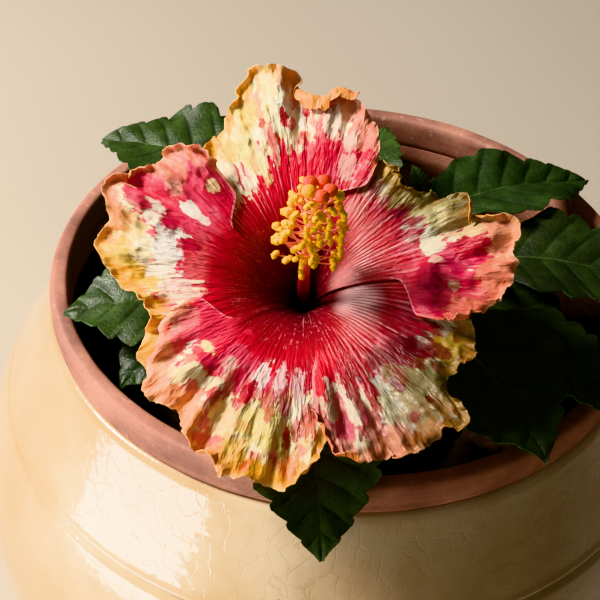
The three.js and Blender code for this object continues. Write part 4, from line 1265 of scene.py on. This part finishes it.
        margin=[(343, 54), (346, 61), (352, 67), (357, 73), (361, 76), (366, 77), (371, 78), (375, 79),
            (378, 76), (381, 70), (383, 65), (386, 66), (389, 68), (392, 66), (396, 60), (401, 54),
            (408, 51), (414, 55), (420, 54), (427, 48)],
        pale=[(343, 66), (360, 72), (370, 72), (376, 64), (381, 54), (388, 48), (400, 47), (410, 42),
            (427, 40)],
        veins=[(343, 0.3), (365, 0.6), (380, 0.8), (400, 0.85), (427, 0.8)],
        vein_start=22,
        dark_veins=[(343, 0.3), (358, 0.8), (395, 0.9), (412, 0.5), (427, 0.2)],
        tones=("#c82044", "#e0cf9e", "#bca65e", "#d47c64", "#98142e"), flecked=0.08,
        depth=[(343, 1.0), (362, 1.0), (376, 0.6), (390, 0.3), (402, 0.3), (427, 0.55)],
        sheens=[(375, 15, 5, 6, "#dc9c98", 0.35), (390, 22, 6, 5, "#cf7876", 0.3),
            (406, 28, 7, 5, "#d67c7a", 0.4), (420, 33, 6, 5, "#dc8c84", 0.5)],
        rims=[(343, "#cf6f5c"), (360, "#cf7a62"), (372, "#eba684"), (380, "#d8944c"), (390, "#b8903e"),
            (400, "#a88c46"), (427, "#b88a30")],
        rim_width=9,
        patches=[(381, 49, 4, 6, "#eee6cc", 1.0), (376, 50, 5, 2.6, "#e8dcc6", 0.95),
            (370, 49, 2.6, 2.0, "#edc6b4", 0.85), (359, 55, 2.6, 2.0, "#dcb79c", 0.9),
            (391, 56, 7, 8, "#e0d596", 0.9), (397, 51, 6, 6, "#dfd394", 0.85),
            (406, 50, 6, 8, "#dccd84", 0.85), (352, 46, 8, 6, "#b82c48", 0.92),
            (353, 55, 7, 5, "#c04a58", 0.85), (362, 47, 5, 7, "#9c1434", 0.9),
            (373, 61, 5, 4.5, "#b41a32", 0.95), (367, 57, 6, 4, "#92183a", 0.75),
            (350, 60, 5, 5, "#e0826e", 0.7), (362, 71, 8, 12, "#cf7c66", 0.9),
            (374, 73, 6, 6, "#eda084", 0.95), (357, 62, 5, 3, "#c8525e", 0.7),
            (386, 60, 5, 4, "#e3c088", 0.7), (379, 64, 3, 3, "#f0c9a0", 0.8),
            (415, 51, 4, 6, "#d9a832", 0.9), (424, 50, 5, 5, "#d89a24", 0.9),
            (400, 45, 5, 2.2, "#a3243e", 0.8), (392, 46, 5, 2.2, "#aa1c38", 0.8),
            (410, 42, 5, 2, "#b62c48", 0.6), (385, 53, 3, 3, "#d3b98a", 0.5),
            (347, 64, 4, 4, "#dd8a72", 0.6)],
        folds=[(356, 46, 6, 11, 4.6), (366, 48, 4, 5, 3.0), (350, 52, 10, 2.2, -2.6),
            (357, 56, 14, 2.0, -2.4), (363, 60, 14, 2.4, 2.0), (369, 66, 12, 2.4, -1.6),
            (374, 70, 9, 5, 3.0), (382, 60, 12, 2.6, -3.4), (389, 60, 10, 4, 2.8),
            (397, 52, 10, 3, -1.6)],
        hems=[(343, 80, 4), (347, 120, 5), (352, -50, 4), (358, 70, 4), (364, -60, 4), (370, 60, 4),
            (375, 110, 6), (380, 160, 7), (384, 110, 5), (388, 140, 6), (392, 50, 4), (398, -80, 4),
            (405, 90, 4), (412, 120, 5), (427, 0, 3)],
    ),
]

PETAL_COLUMNS = int(224 * FINE)
PETAL_ROWS = int(92 * FINE)
HEM_ROWS = int(12 * FINE)
PETAL_ROOT = 4.2  # how far in the petals meet, out of sight in the calyx
CLAW_COVER = 24  # angle by which a petal's root reaches on under its neighbour's
COVER_ENDS = (40, 58)  # radii over which that cover runs out
VEIN_GAP = 2.9  # angle from one vein to the next
HEM_BEND = 0.6  # share of a hem's width that its bend takes
HEM_REACH = 0.9  # share of a hem's width that counts as radius in its colours
LEAST_CURL = 0.05
BRIGHTEST = 0.95  # share of the light that the palest tissue gives back
BROAD_PATCH = 5.5  # half size over which a patch is painted beneath the others
SEED_STEP = 17  # from one petal's noise to the next

# The red of a petal, from its root outwards
RED_GROUND = [
    (6, "#3a040a"), (12, "#5a060f"), (18, "#720613"), (25, "#8c0818"), (32, "#ac0a1e"), (39, "#cc1230"),
]


def read(points, angle, spread=2.0):
    """A gently rounded reading between (angle, value) points."""
    places, values = np.array(points, float).T
    nearby = [np.interp(angle + spread * step, places, values) for step in (-1.5, -0.75, 0, 0.75, 1.5)]
    return sum(weight * value for weight, value in zip((0.1, 0.22, 0.36, 0.22, 0.1), nearby))


def near(angle, radius, spot):
    """How far each place lies from a spot, 1 being its edge."""
    apart = (angle - spot[0] + 180) % 360 - 180
    outwards = radius * np.cos(np.radians(apart)) - spot[1]
    across = radius * np.sin(np.radians(apart))
    return np.hypot(outwards / spot[2], across / spot[3])


def stretched(angle, radius, wide, long, seed, layers=1):
    """Noise drawn out along a petal: its marks are wide degrees across and long millimetres."""
    return layered(np.stack([angle / wide, radius / long], axis=-1), layers, seed)


def crease(value):
    """Sharp-backed folds from smooth noise."""
    return 0.7 - 2.4 * np.sqrt(value * value + 0.008)


def vein_turn(angle, radius, seed):
    """A petal's veins: one lies wherever this has gone on by pi."""
    return math.pi * (angle + 0.9 * stretched(angle, radius, 8, 26, seed + 11)) / VEIN_GAP


def hem_curve(curl, width):
    """Outward and forward places along a hem that bends through curl and then runs straight."""
    along = np.linspace(0, 1, HEM_ROWS + 1)[1:, None] * width
    bend = width * HEM_BEND / np.abs(curl)
    turn = np.minimum(along / bend, np.abs(curl))
    rest = np.maximum(0, along - width * HEM_BEND)
    out = bend * np.sin(turn) + rest * np.cos(curl)
    forward = bend * (1 - np.cos(turn)) + rest * np.sin(np.abs(curl))
    return out, forward * np.sign(curl)


def petal_hem(shape, seed, angle, covered):
    """The width of a petal's hem, and its outward and forward places."""
    curl = read([(at, bend) for at, bend, _ in shape["hems"]], angle, 1.0)
    curl = np.radians(curl + 28 * stretched(angle, 0 * angle, 3.0, 9, seed + 14, 2))
    curl = lerp(curl, LEAST_CURL, covered)
    curl = np.where(np.abs(curl) < LEAST_CURL, LEAST_CURL, curl)
    width = read([(at, wide) for at, _, wide in shape["hems"]], angle, 1.0)
    return (width, *hem_curve(curl, width))


def petal_relief(shape, seed, share, at):
    """How high a petal stands over the shared corolla: its overlap, lip, folds, pleats and flutter."""
    angle, radius, edge = at.angle, at.radius, at.edge
    loose = 1 - 0.8 * smooth(share, 0.84, 0.95)
    free = smooth(share, -0.02, 0.06) * (1 - smooth(share, 0.86, 0.99)) * smooth(radius, 30, 46)
    overlap = 0.5 * smooth(radius, 0, 12) + 0.5 * smooth(radius, 30, 55)
    raised = ruffle(np.radians(angle), radius) - (share * 2 - 1) * OVERLAP_STEP * overlap
    raised = raised + shape["lip"] * bell(at.lip, 4.5) * smooth(radius, 36, 56)
    for fold in shape["folds"]:
        raised = raised + fold[4] * bell(near(angle, radius, fold), 1) * free

    sway = angle + 2.2 * stretched(angle, radius, 9, 14, seed + 15)
    pleat = 0.6 * crease(stretched(sway, radius, 4.4, 34, seed + 1))
    pleat = pleat + 0.5 * stretched(sway, radius, 2.1, 17, seed + 2)
    raised = raised + shape["pleats"] * pleat * smooth(radius, 36, 60) * loose
    crinkle = crease(layered(polar(radius, np.radians(angle)) / 6.0, 2, seed + 16))
    crinkle = 0.4 * crinkle * smooth(edge, 30, 6)
    raised = raised + crinkle * smooth(radius, 40, 54) * loose
    flutter = stretched(angle, radius, 6.0, 18, seed + 3)
    flutter = flutter + 0.35 * stretched(angle, radius, 3.0, 12, seed + 18)
    raised = raised + 2.3 * flutter * smooth(edge, 16, 1) * free
    ribs = np.cos(2 * vein_turn(angle, radius, seed))
    ribbed = read(shape["dark_veins"], angle) * smooth(radius, 18, 26)
    return raised + 0.08 * ribs * (ribbed * (1 - smooth(radius, 40, 54)))


def hemmed(body, out, forward):
    """A petal's middle surface with its hem rolled on from the body's last row."""
    outwards = unit(body[-1] - body[-3])
    facing = unit(np.cross(outwards, np.gradient(body[-1], axis=0)))
    facing = facing * np.sign(facing @ BLOOM_AXIS)[..., None]
    rolled = body[-1] + out[..., None] * outwards + forward[..., None] * facing
    return np.concatenate([body, rolled])


def petal_grid(shape, seed):
    """The middle surface of a petal, with what its colours need to know of each place."""
    share = np.linspace(0, 1, PETAL_COLUMNS + 1)[None, :]
    angle = lerp(shape["start"], shape["end"], share)
    margin = read(shape["margin"], angle, 0.8)
    margin = margin + 0.8 * stretched(angle, 0 * angle, 2.6, 9, seed, 3)
    hem, out, forward = petal_hem(shape, seed, angle, smooth(share, 0.84, 0.95))
    body_end = margin - np.maximum(out.max(axis=0), 0)[None, :]

    rows = np.linspace(0, 1, PETAL_ROWS + 1)[:, None] ** 0.92
    radius = lerp(PETAL_ROOT, body_end, rows)
    swing, claw_from, claw_to = shape["claw"]
    tuck = swing * (1 - smooth(share, 0, 0.34)) * (1 - smooth(radius, claw_from, claw_to))
    tuck = tuck + CLAW_COVER * smooth(share, 0.7, 1.0) * (1 - smooth(radius, *COVER_ENDS))
    lip = np.radians(share * (shape["end"] - shape["start"])) * radius
    at = SimpleNamespace(angle=angle + tuck, radius=radius, edge=body_end - radius, lip=lip)
    body = corolla_point(np.radians(at.angle), radius, petal_relief(shape, seed, share, at))

    hem_share = np.linspace(0, 1, HEM_ROWS + 1)[1:, None]
    at.radius = np.concatenate([radius, body_end + hem_share * hem * HEM_REACH])
    at.angle = np.concatenate([at.angle, np.repeat(at.angle[-1:], HEM_ROWS, axis=0)])
    at.lip = np.concatenate([lip, np.repeat(lip[-1:], HEM_ROWS, axis=0)])
    at.edge = body_end + hem * HEM_REACH - at.radius
    return hemmed(body, out, forward), at


def blotches(under, spots, at, swell):
    """The colours of a petal's blotches, and how far each place lies inside one."""
    colours, deepest = under.copy(), np.full(at.angle.shape, -1.0)
    for spot in spots:
        depth = 1 - near(at.angle, at.radius, spot) * swell
        mine = ((depth > deepest) | (depth > 0))[..., None]
        colours = np.where(mine, over(under, spot[4], spot[5] + 0 * depth), colours)
        deepest = np.maximum(deepest, depth)
    return colours, deepest


def add_noises(at, seed):
    """The noises that a petal's colours share, from the broadest streaks to the finest grain."""
    at.flat = polar(at.radius, np.radians(at.angle))
    at.streak = stretched(at.angle, at.radius, 1.5, 16, seed + 5)
    at.fine = stretched(at.angle, at.radius, 0.7, 9, seed + 6)
    at.cloud = layered(at.flat / 7.5, 4, seed + 7)
    at.grain = layered(at.flat / 2.2, 3, seed + 8)


def petal_ground(shape, at):
    """The red that a petal's other colours lie on, streaked paler and deeper."""
    red = shape["tones"][0]
    reach = at.radius + (3.5 * at.streak + 2.5 * at.fine + 1.5 * at.cloud)
    ground = ramp(reach, RED_GROUND + [(49, red), (80, red)])
    outside = smooth(reach, 33, 44)
    pale = 0.5 * outside * smooth(at.cloud + 0.6 * at.fine, 0.1, 0.9)
    deep = 0.45 * outside * smooth(-at.cloud + 0.6 * at.streak, 0.1, 0.8)
    ground = over(over(ground, "#f07a90", pale), "#a80a2c", deep)
    # Sheens: pale pink in the red, partly the tissue's own colour and partly a painted highlight.
    for sheen in shape["sheens"]:
        apart = near(at.angle, at.radius, sheen)
        ground = over(ground, sheen[4], sheen[5] * (1 - smooth(apart, 0.3, 1.3)))
    return ground


def petal_cream(shape, seed, at):
    """The cream that lies over the red, shaded and blushed."""
    _, pale_tone, shade, blush_tone, fleck_tone = shape["tones"]
    pale_tone = rgb(pale_tone)
    dim = smooth(-at.cloud - 0.5 * at.streak + 0.3 * at.grain, 0.1, 0.9)
    cream = over(pale_tone, shade, 0.6 * dim)
    light = 0.7 * smooth(at.cloud + 0.7 * at.streak, 0.1, 0.7)
    cream = over(cream, lerp(pale_tone, 1.0, 0.5), light)
    blush = layered(at.flat / 5.5, 3, seed + 9) + 0.5 * at.streak + 0.3 * at.fine
    cream = over(cream, blush_tone, 0.7 * smooth(blush, 0.2, 0.65))
    deeper = lerp(rgb(blush_tone), rgb(fleck_tone), 0.45)
    return over(cream, deeper, 0.6 * smooth(blush - 0.3 * at.grain, 0.6, 0.95))


def petal_fleck(shape, seed, at, past_pale):
    """How far each place lies inside a fleck of the cream."""
    fleck = stretched(at.angle, at.radius, 1.7, 5.5, seed + 10, 2)
    fleck = fleck + 0.4 * stretched(at.angle, at.radius, 6, 16, seed + 19)
    inner = 1 - smooth(past_pale, 12, 30)
    return fleck - 0.52 - 0.3 * (1 - inner) + shape["flecked"]


def petal_blotches(shape, at, mixed):
    """The colours of a petal's broad and of its small patches, and how deep each place lies in them."""
    swell = np.maximum(0.55, 1 + 0.35 * at.cloud + 0.15 * at.grain)
    broad = [spot for spot in shape["patches"] if max(spot[2:4]) > BROAD_PATCH]
    small = [spot for spot in shape["patches"] if max(spot[2:4]) <= BROAD_PATCH]
    wash, wash_depth = blotches(mixed, broad, at, swell)
    washed = over(mixed, wash, smooth(wash_depth, -0.1, 0.1))
    spot, spot_depth = blotches(washed, small, at, swell)
    # A painted highlight: a thin pink line along the upper edge, where the petal lies over its neighbour.
    lip_highlight = (1 - at.lip / 1.4) * smooth(at.radius, 28, 40)
    spot = over(spot, "#ee8f98", smooth(lip_highlight, -0.2, 0.2))
    return wash, wash_depth, spot, np.maximum(spot_depth, lip_highlight - 0.25)


def petal_veins(shape, seed, at):
    """The course of a petal's veins, and how strongly the pale and the dark ones show."""
    strength = smooth(stretched(at.angle, at.radius, 2.0, 22, seed + 12, 2), -0.35, 0.6)
    start = shape["vein_start"]
    line = read(shape["veins"], at.angle) * strength
    line = line * (1 - smooth(at.radius + 6 * at.fine, 46, 62))
    line = line * smooth(at.radius + 6 * at.streak, start, start + 9)
    dark = read(shape["dark_veins"], at.angle) * smooth(at.radius, 14, 21)
    dark = dark * (1 - smooth(at.radius + 4 * at.streak, 38, 54))
    return np.stack([vein_turn(at.angle, at.radius, seed), line, dark], axis=-1)


def petal_rim(shape, seed, at):
    """The plain tone of a petal's rim, its worn colours with a paler very edge that is partly a painted
    highlight, and its width.
    """
    linear = [(angle, rgb(code)) for angle, code in shape["rims"]]
    channels = [[(angle, tone[k]) for angle, tone in linear] for k in range(3)]
    tone = np.stack([read(channel, at.angle) for channel in channels], -1)
    width = np.maximum(shape["rim_width"] * (1 + 0.6 * at.cloud + 0.5 * at.streak), 1.5)
    worn = smooth(layered(at.flat / 3.0, 3, seed + 13) + 0.3 * at.fine, 0.15, 0.6)
    rim = over(tone, tone * [0.85, 0.5, 0.4], 0.4 * worn)
    # The very edge is paler, partly the margin's own colour and partly a painted highlight.
    pale_edge_and_highlight = 0.5 * (1 - smooth(at.edge, 0.3, 1.3))
    return tone, over(rim, lerp(tone, rgb("#fbe3bc"), 0.6), pale_edge_and_highlight), width


def petal_tints(shape, seed, at):
    """A petal's painted layers on its face and on its back: colours, and depths in each marking."""
    add_noises(at, seed)
    past_pale = at.radius - read(shape["pale"], at.angle)
    pale = np.minimum(past_pale + 7 * at.streak + 6 * at.cloud + 2 * at.fine, at.radius - 37)
    ground, cream = petal_ground(shape, at), petal_cream(shape, seed, at)
    mixed = over(ground, cream, smooth(pale, -2, 2))
    wash, wash_depth, spot, spot_depth = petal_blotches(shape, at, mixed)
    rim_tone, rim, width = petal_rim(shape, seed, at)
    colours = dict(ground=ground, cream=cream, wash=wash, spot=spot, rim=rim)
    colours["fleck"] = np.broadcast_to(rgb(shape["tones"][-1]), ground.shape)
    # Painted light and shade: every colour is deepened or lightened outside the throat by the petal's depth
    # share.
    depth = lerp(1.0, read(shape["depth"], at.angle, 3.0), smooth(at.radius, 26, 44))[..., None]
    backs = {}
    for key, colour in colours.items():
        colour = colour * np.minimum(depth, BRIGHTEST / colour.max(axis=-1, keepdims=True))
        back = over(colour * 0.92, rim_tone * [1.0, 0.88, 0.66], 0.6 * smooth(at.radius, 24, 50))
        gold = 0.4 * smooth(at.radius, 40, 70) * smooth(at.cloud, -0.3, 0.5)
        colours[key], backs[key] = colour, over(back, "#eda03c", gold)
    fleck, creased = petal_fleck(shape, seed, at, past_pale), smooth(at.radius, 20, 42)
    depths = dict(
        depths=np.stack([pale, wash_depth, spot_depth], axis=-1),
        edges=np.stack([0.65 * width - at.edge, fleck, creased], axis=-1),
        veins=petal_veins(shape, seed, at),
    )
    return {**colours, **depths}, {**backs, **depths}


def make_petals():
    for rank, shape in enumerate(PETALS):
        grid, at = petal_grid(shape, rank * SEED_STEP)
        face, back = petal_tints(shape, rank * SEED_STEP, at)
        thin = PETAL_THICKNESS * lerp(1.0, 0.55, smooth(-at.edge, -8, 0))
        if np.mean(surface_normals(grid) @ BLOOM_AXIS) < 0:
            face, back = back, face
        blade = sheet(grid, thin, tints=face, back_tints=back)
        mesh_piece("bloom_" + shape["name"], [blade], [PETAL], [shape["name"]], 70)


def column_path(steps):
    foot = in_bloom(0, 0, corolla_height(PETAL_START) - 7)
    middle = in_bloom(-1, 1, COLUMN_LENGTH * 0.25)
    tip = in_bloom(3, COLUMN_RISE, COLUMN_LENGTH + corolla_height(PETAL_START))
    return bezier([foot, middle, tip], steps)


COLUMN_TINTS = [
    (0, "#1c0104"), (0.2, "#4d040c"), (0.36, "#9c1420"), (0.48, "#dc6a56"), (0.7, "#f0a078"), (1, "#f6c765"),
]
GOLDEN_ANGLE = math.pi * (3 - math.sqrt(5))


def make_column():
    """The column with its stamens, standing out of its outer half in a spiral."""
    steps = 120
    path = column_path(steps)
    share = np.linspace(0, 1, steps + 1)
    along = unit(np.gradient(path, axis=0))
    radii = lerp(COLUMN_RADIUS, COLUMN_TIP_RADIUS, share)
    core = tube(path, radii, 24, furrowed(0.08, 71), 0, ramp(share, COLUMN_TINTS))
    mesh_piece("stamen_tube", [core], [COLUMN], ["stamen_column"])

    threads, pollen = [], []
    for k in range(STAMENS):
        rank = (k + 0.5) / STAMENS
        place = round(lerp(*STAMEN_ZONE, rank) * steps)
        axis = along[place]
        spin = k * GOLDEN_ANGLE + RANDOM.uniform(-0.3, 0.3)
        side = turn_about(square_to(axis), axis, spin)
        length = (7 + 4.5 * math.sin(math.pi * (0.25 + 0.6 * rank))) * RANDOM.uniform(0.78, 1.06)
        length = length * (1 - 0.35 * smooth(-side @ BLOOM_UP, 0.3, 0.9))
        lean = 4 + RANDOM.uniform(-1.5, 1.5)
        tip = path[place] + side * length + axis * lean
        knee = path[place] + side * length * 0.55 + axis * lean * RANDOM.uniform(-0.1, 0.5)
        threads.append(tube(bezier([path[place], knee, tip], 7), np.linspace(0.36, 0.26, 8), 6))
        out = unit(tip - knee)
        across = unit(np.cross(out, turn_about(side, axis, RANDOM.uniform(0.6, 2.4))))
        axes = np.stack([across, out, np.cross(across, out)])
        size = RANDOM.uniform(0.85, 1.12)
        for half in (-1, 0, 1):
            lump = tip + out * (0.7 - 0.5 * abs(half)) + across * half * 1.25 * size
            radii = np.array([1.25, 1.2, 1.15]) * size
            pollen.append(ball(lump, radii, 7, 9, 0.3, axes, k + 90 * half))
    mesh_piece("stamen_threads", threads, [FILAMENT], ["stamen_column"])
    mesh_piece("stamen_anthers", pollen, [ANTHER], ["stamen_column"])


def make_stigma():
    """Velvety pads on short arms at the column's tip, one dusted with pollen."""
    path = column_path(60)
    along = unit(path[-1] - path[-2])
    hub = path[-1] + along * 2.8
    pieces = [tube(bezier([path[-1] + along * 0.2, path[-1] + along * 1.5, hub], 10), 1.1, 14)]
    for k in range(STIGMA_PADS):
        side = turn_about(square_to(along), along, k / STIGMA_PADS * 2 * math.pi)
        pad = hub + side * 4.1 + along * 3.0
        knee = hub + side * 3.2 + along * 0.6
        pieces.append(tube(bezier([hub - along * 0.8, knee, pad], 10), np.linspace(0.8, 0.6, 11), 10))
        axes = np.stack([side, np.cross(along, side), along])
        pieces.append(ball(pad, (2.65, 2.65, 2.3), 20, 28, 0.05, axes, k, 2 if k == 3 else 1))
    mesh_piece("stigma_crown", pieces, [FILAMENT, STIGMA, STIGMA_POLLEN], ["stigma"])


def calyx_cup(bottom):
    """A five-lobed cup with ribbed sepals, its floor in the throat's dark red deepened to near black as
    painted shade.
    """
    inner = OVERLAP_STEP + 0.55 + 0.8
    waist = PETAL_START + inner + 0.4
    turn = np.linspace(0, 2 * math.pi, 151)[:-1]
    lobe = 0.5 + 0.5 * np.abs(np.cos(turn * 2.5 + 0.6)) ** 1.25
    rows = []
    for share in np.linspace(0, 1, 15):
        radius = lerp(3.0, waist, math.sqrt(share)) + 0.22 * np.cos(turn * 10) * share
        height = bottom + CALYX_DEPTH * 0.8 * share + 0 * turn
        rows.append(in_bloom(radius * np.cos(turn), radius * np.sin(turn), height))
    for share in np.linspace(0.1, 1, 16):
        radius = lerp(PETAL_START, PETAL_START + SEPAL_LENGTH * lobe, share)
        rib = 0.2 * np.cos(turn * 10) * (1 - share)
        rows.append(corolla_point(turn, radius, -(inner + 1.1) - rib))
    for share in np.linspace(1, 0.1, 16):
        radius = lerp(PETAL_START, PETAL_START + SEPAL_LENGTH * lobe, share)
        rows.append(corolla_point(turn, radius, -(inner + 0.4) + 0 * turn))
    ends = in_bloom([0, 0], [0, 0], [bottom, bottom + 1])
    points = np.concatenate([np.array(rows).reshape(-1, 3), ends])
    faces = capped_faces(len(rows), len(turn))
    inside = [len(face) == 3 and len(points) - 1 in face for face in faces]
    return part(points, faces, inside)


def make_calyx():
    """The calyx, over a ring of slender bracts, and the stalk that the bloom stands on."""
    bottom = float(corolla_height(PETAL_START)) - CALYX_DEPTH
    shapes = [calyx_cup(bottom)]
    for k in range(BRACTS):
        bearing = k / BRACTS * 2 * math.pi + 0.3
        out = BLOOM_RIGHT * math.cos(bearing) + BLOOM_UP * math.sin(bearing)
        root = in_bloom(0, 0, bottom + 1.5) + out * 3
        path = bezier([root, root + out * 5, root + out * 9 + BLOOM_AXIS * 5], 14)
        shapes.append(tube(path, 0.9 * np.sin(np.linspace(0.5, 3.05, 15)) + 0.1, 8))
    mesh_piece("calyx_cup", shapes, [SEPALS, SHADED_THROAT_FLOOR], ["calyx"])

    rising = unit(trunk_points()[2] - trunk_points()[1])
    start = trunk_at(1.0) - rising * 1.0
    end = in_bloom(0, 0, bottom + 0.5)
    path = bezier([start, start + rising * 15, end - BLOOM_AXIS * 18, end], 50)
    share = np.linspace(0, 1, 51)
    radii = lerp(3.0, 2.2, share) + 0.5 * bell(share - 0.8, 0.025) + 0.6 * np.exp((share - 1) * 20)
    stalk = tube(path, radii, 20, furrowed(0.12, 81))
    mesh_piece("bloom_stem", [stalk], [STALK], ["flower_stalk"])


# ------------------------------------------------------------------ floor, light and camera

FLOOR_SIZE = 6.0  # metres from its middle to its edges
FLOOR_TONES = [(0.3, "#a59b8e"), (0.7, "#aea498")]
WORLD_COLOUR = (0.85, 0.82, 0.78, 1)
WORLD_STRENGTH = 0.09
LIT_BLOOM = (-0.02, -0.06, 0.30)  # what the lights aim at, in metres
LIT_SHOULDER = (-0.068, -0.11, 0.223)
CAMERA_DISTANCE = 5.124 * RIM_RADIUS * MM
CAMERA_ELEVATION = 39.71
CAMERA_TURNS = (1.63, -1.36, -4.60)  # its pan, tilt and roll
CAMERA_LENS = 90


def make_stage():
    """A plain pale floor."""
    mesh = bpy.data.meshes.new("floor")
    corners = [(-1, -1), (1, -1), (1, 1), (-1, 1)]
    corners = [(x * FLOOR_SIZE, y * FLOOR_SIZE, 0) for x, y in corners]
    mesh.from_pydata(corners, [], [(0, 1, 2, 3)])
    floor = bpy.data.objects.new("floor", mesh)
    bpy.context.scene.collection.objects.link(floor)
    shader = Shader("pale_floor")
    colour = shader.ramp(shader.noise(900, 2), FLOOR_TONES)
    mesh.materials.append(shader.set(Base_Color=colour, Roughness=0.8))


def area_light(name, place, target, size, power, colour):
    """A soft oval light; place, target and size, which is its width and height, are in metres."""
    data = bpy.data.lights.new(name, "AREA")
    data.shape = "ELLIPSE"
    data.size, data.size_y = size
    data.energy = power
    data.color = colour
    lamp = bpy.data.objects.new(name, data)
    lamp.location = place
    lamp.rotation_euler = (Vector(target) - Vector(place)).to_track_quat("-Z", "Y").to_euler()
    lamp.visible_camera = False
    bpy.context.scene.collection.objects.link(lamp)


def make_lights():
    key, gleam, fill = (-1.516, 0.039, 1.587), (-0.58, -0.44, 0.135), (-0.75, -1.35, 1.45)
    area_light("key", key, LIT_BLOOM, (0.66, 0.66), 113.7, (1.0, 0.94, 0.86))
    area_light("shoulder_gleam", gleam, LIT_SHOULDER, (0.56, 0.17), 3.5, (1.0, 0.97, 0.92))
    area_light("fill", fill, LIT_BLOOM, (1.0, 1.0), 1.5, (0.92, 0.96, 1.0))
    world = bpy.data.worlds.new("studio")
    world.use_nodes = True
    background = world.node_tree.nodes["Background"]
    background.inputs["Color"].default_value = WORLD_COLOUR
    background.inputs["Strength"].default_value = WORLD_STRENGTH
    bpy.context.scene.world = world


def make_camera():
    """The photograph's viewing angle, from in front, above and close by."""
    elevation = math.radians(CAMERA_ELEVATION)
    forward = np.array([0, math.cos(elevation), -math.sin(elevation)])
    right = RIGHT
    up = np.cross(right, forward)
    place = UP * (POT_HEIGHT * MM) - forward * CAMERA_DISTANCE
    pan, tilt, roll = (math.radians(angle) for angle in CAMERA_TURNS)
    forward, right = turn_about(forward, up, pan), turn_about(right, up, pan)
    forward, up = turn_about(forward, right, tilt), turn_about(up, right, tilt)
    right, up = turn_about(right, forward, roll), turn_about(up, forward, roll)
    data = bpy.data.cameras.new("camera")
    data.lens = CAMERA_LENS
    data.sensor_width = 36
    camera = bpy.data.objects.new("camera", data)
    turn = Matrix([right, up, -forward]).transposed().to_4x4()
    camera.matrix_world = Matrix.Translation(place) @ turn
    bpy.context.scene.collection.objects.link(camera)
    bpy.context.scene.camera = camera


bpy.context.scene.view_settings.view_transform = "Khronos PBR Neutral"
make_camera()
make_crock()
make_rim()
make_soil()
make_wood(SHOOTS)
for order, branch in enumerate(SHOOTS):
    make_shoot(branch, order)
make_petals()
make_column()
make_stigma()
make_calyx()
make_stage()
make_lights()
